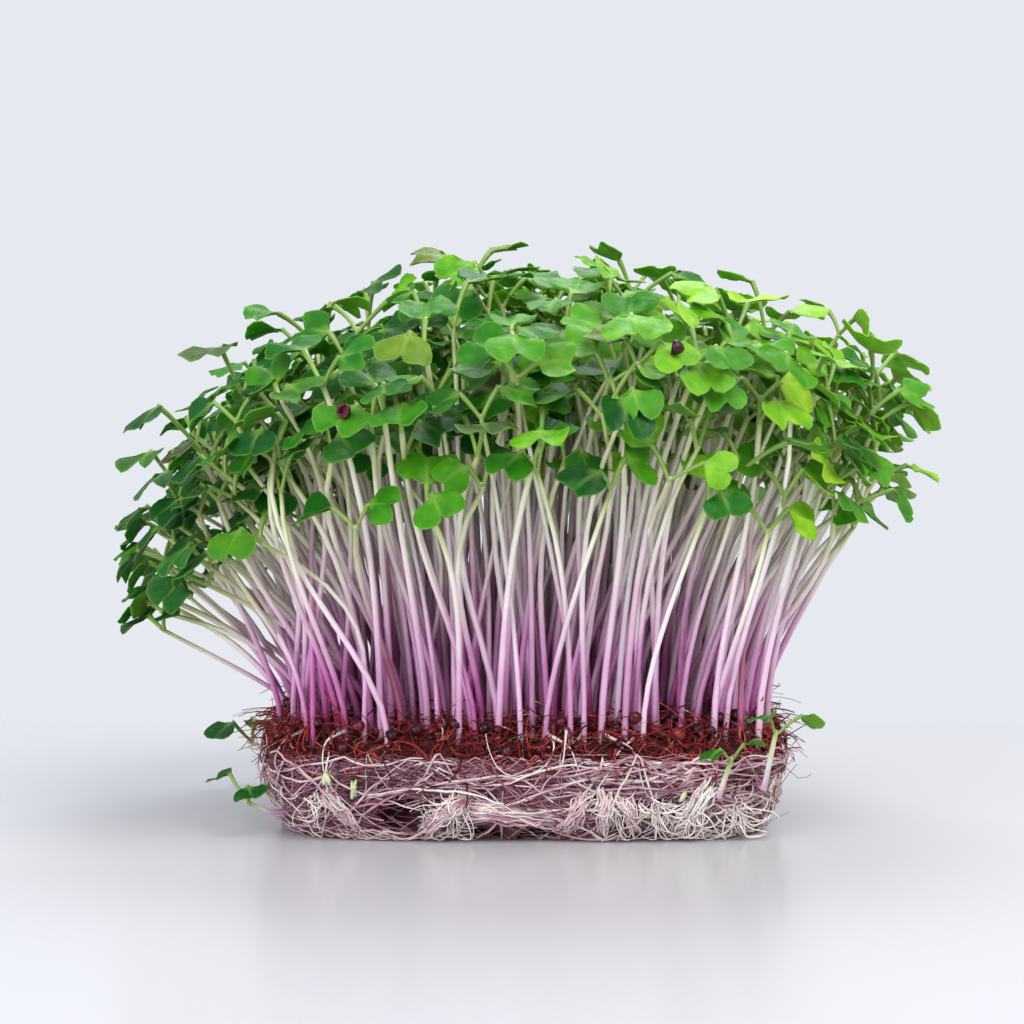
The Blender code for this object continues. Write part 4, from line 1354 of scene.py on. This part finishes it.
seeds = {
    "seed": 21,
    "count": 170, "rimCount": 104, "hullCount": 70, "leafHulls": 9,
    "nodeSeeds": 16, "nodeRadius": 0.0014,  # the medium's own seeds
    "leafHullsAbove": 0.080, "leafHullRadius": 0.0015,
    "radius": (0.00122, 0.00158),
    "shades": (0.0, 0.65),
    "apart": 0.0026, "squash": (0.92, 0.84),
}


def looseSeedPlaces(bunches, rng):
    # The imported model's own loose seeds
    taken = []
    for bases in bunches:
        taken += bases + [(a + b) / 2 for a, b in zip(bases, bases[1:])]
    places = []
    while len(places) < seeds["nodeSeeds"]:
        angle = rng.uniform(0, fullTurn)
        rim = np.array(bed["mediumHalf"]) * rimReach(angle) * (math.cos(angle), math.sin(angle))
        place = rim * rng.uniform(0.2, 0.86) ** 0.5
        if min(np.linalg.norm(place - other) for other in taken + places) > 0.0036:
            places.append(place)
    return places


def seedMesh(name, squash):
    shape = bmesh.new()
    bmesh.ops.create_uvsphere(shape, u_segments=10, v_segments=7, radius=1.0)
    for vertex in shape.verts:
        vertex.co.z *= squash
        vertex.co.x *= 1.0 + 0.08 * math.sin(3 * vertex.co.y)
    return meshFrom(shape, name)


def hullMesh(name):
    # An empty seed coat: a split cup with a rolled edge
    shape = bmesh.new()
    profile = [(0.02, -1.0), (0.62, -0.80), (0.95, -0.30), (1.0, 0.15), (0.86, 0.20), (0.80, -0.25),
               (0.50, -0.66), (0.02, -0.84)]
    rows = []
    for radius, z in profile:
        places = [(radius * math.cos(a), radius * math.sin(a), z + 0.18 * math.sin(2 * a) * radius)
                  for a in np.linspace(0, fullTurn, 10)[:-1]]
        rows.append([shape.verts.new(place) for place in places])
    for low, high in zip(rows, rows[1:]):
        for i in range(9):
            shape.faces.new((low[i], low[(i + 1) % 9], high[(i + 1) % 9], high[i]))
    shape.faces.new(list(reversed(rows[0])))
    shape.faces.new(rows[-1])
    bmesh.ops.recalc_face_normals(shape, faces=shape.faces)
    return meshFrom(shape, name)


def seedSpots(looseOnes, rng):
    spots = [(place, seeds["nodeRadius"], bed["mediumTop"] + 0.0004) for place in looseOnes]
    while len(spots) < seeds["count"]:
        atRim = len(spots) < seeds["rimCount"]
        x, y = bedSpot(rng, 0.02 if atRim else 0.4) * rng.uniform(0.94, 1.03 if atRim else 1.0)
        radius = rng.uniform(*seeds["radius"])
        z = coirFloor(x, y) + rng.uniform(1.6, 3.4) * radius
        if all(np.linalg.norm(spot[0] - (x, y)) > seeds["apart"] for spot in spots):
            spots.append((np.array((x, y)), radius, z))
    return [{"place": (place[0], place[1], z), "turn": tuple(rng.uniform(-0.6, 0.6, 3)),
             "size": (radius, radius * rng.uniform(0.88, 1.0), radius * 0.95), "kind": int(rng.integers(2)),
             "tone": rng.uniform(*seeds["shades"])} for place, radius, z in spots]


def hullSpots(leaves, rng):
    # Empty seed coats on the coir, and a few that a leaf has carried up
    def hull(place, radius, *tones):
        return {"place": tuple(place), "turn": tuple(rng.uniform(-3, 3, 3)), "size": (radius,) * 3, "kind": 0,
                "tone": rng.uniform(*tones)}

    spots = []
    for i in rng.choice(len(leaves), seeds["leafHulls"], replace=False):
        leaf = leaves[i]
        outward = np.array(Euler(leaf["turn"]).to_matrix() @ Vector((1.0, 0.0, 0.0)))
        place = np.array(leaf["place"]) + outward * leaf["reach"] * 0.4 + np.array(leaf["facing"]) * 0.0012
        spots.append(hull(place, seeds["leafHullRadius"], 0.1, 0.6))
    for _ in range(seeds["hullCount"]):
        x, y = bedSpot(rng, 0.20) * 0.98
        radius = rng.uniform(*seeds["radius"])
        spots.append(hull((x, y, coirFloor(x, y) + radius * rng.uniform(0.8, 2.2)), radius, 0.3, 1.0))
    return spots


# Everything in order

def dress():
    rng = np.random.default_rng(bed["seed"])
    sideSprouts = drawSprouts(rng)
    bases, bunches = bunchBases(rng)
    filled = [sample for sprout in sideSprouts for sample in seedlingSamples(*sprout)]
    grown = growBed(bases, filled, rng)
    print("bed", len(grown), "seedlings")
    paths = bundlePaths(rng)
    looseOnes = looseSeedPlaces(bunches, rng)
    extraRng = np.random.default_rng(extra["seed"])
    more = growExtra(extraBases(bases, extraRng), filled, extraRng)
    print("more", len(more), "seedlings")

    leafFinish, stemFinish = paintLeaf(), paintStem()
    seedFinish, coirFinish, fibreFinish, feltAndShadeFinish, threadFinish = map(paintToned, tonedFinishes)
    seedlingNodes = [name for name in frame["nodes"] if name.startswith(("seedlings_", "sprout_"))]
    bladeSizes = zip(leafShape["notches"], leafShape["spreads"])
    blades = [leafMesh(f"blade{i}", *sizes) for i, sizes in enumerate(bladeSizes)]
    lookRng = np.random.default_rng(extra["seed"] + 1)
    pieces, leafPlaces = [], []
    for part, seedlings, loose in (("bed", grown, sideSprouts), ("more", more, [])):
        lines, spots = [], []
        for seedling in seedlings:
            path = stemPoints(seedling, stem["steps"])
            pink = pinkShare(lookRng, seedling["base"])
            lines += stemLines(path, seedling["leaves"], lookRng, pink)
            spots += leafSpots(stemPoints(seedling), seedling["leaves"], lookRng)
        for points, leaves in loose:
            lines += stemLines(points, leaves, lookRng, 0.8)
            spots += leafSpots(points, leaves, lookRng)
        leafPlaces += spots
        if part == "more":
            lines += shootLines()
        stems = makeTubes(part + "Stems", lines, stem["sides"], stemFinish)
        leaves = makeScatter(part + "Leaves", spots, blades, bladeTree,
                             {"Ruffle": leafShape["ruffle"], "Finish": leafFinish})
        if part == "bed":
            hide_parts(*seedlingNodes)
            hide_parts(*seedlingNodes)
        pieces += [stems, leaves]

    body = makeRootMat(feltAndShadeFinish)
    feltRng = np.random.default_rng(felt["seed"])
    fineThreads = makeTubes("fineRoots", sideThreads(feltRng, "fine"), 3, threadFinish)
    boldLines = sideThreads(feltRng, "bold") + sideThreads(feltRng, "foot")
    boldThreads = makeTubes("boldRoots", boldLines, 4, threadFinish)
    ropes = bundleThreads(paths, feltRng) + tuftThreads(np.random.default_rng(tufts["seed"]))
    feet = [seedling["base"][:2] for seedling in grown + more]
    ropes += crownRoots(feet, np.random.default_rng(crown["seed"]))
    looseRoots = makeTubes("looseRoots", ropes, 5, threadFinish)
    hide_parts("root_mat")

    medium = makeMedium(coirFinish)
    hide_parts("growing_medium")
    fibreRng = np.random.default_rng(coir["seed"])
    tangle = coirFibres(fibreRng, *coir["fibres"]) + coirFibres(fibreRng, *coir["chunks"])
    tangle += wallFibres(fibreRng) + coirFibres(fibreRng, *coir["hairs"])
    fibres = makeTubes("coirFibres", tangle, 3, fibreFinish)

    seedRng = np.random.default_rng(seeds["seed"])
    roundSeeds = [seedMesh(f"seed{i}", squash) for i, squash in enumerate(seeds["squash"])]
    places = seedSpots(looseOnes, seedRng)
    wholeSeeds = makeScatter("looseSeeds", places, roundSeeds, scatterTree, {"Finish": seedFinish})
    highLeaves = [spot for spot in leafPlaces if spot["place"][2] > seeds["leafHullsAbove"]]
    places = hullSpots(highLeaves, seedRng)
    hulls = makeScatter("seedHulls", places, [hullMesh("hull0")], scatterTree, {"Finish": seedFinish})

    for piece in pieces + [body, fineThreads, boldThreads, looseRoots, medium, fibres, wholeSeeds, hulls]:
        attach(piece, "root")


placeCamera()
lightStudio()
makeTable()
tubeTree, scatterTree, bladeTree = makeTubeTree(), makeScatterTree(), makeBladeTree()
patchGroup = makePatchGroup()
dress()
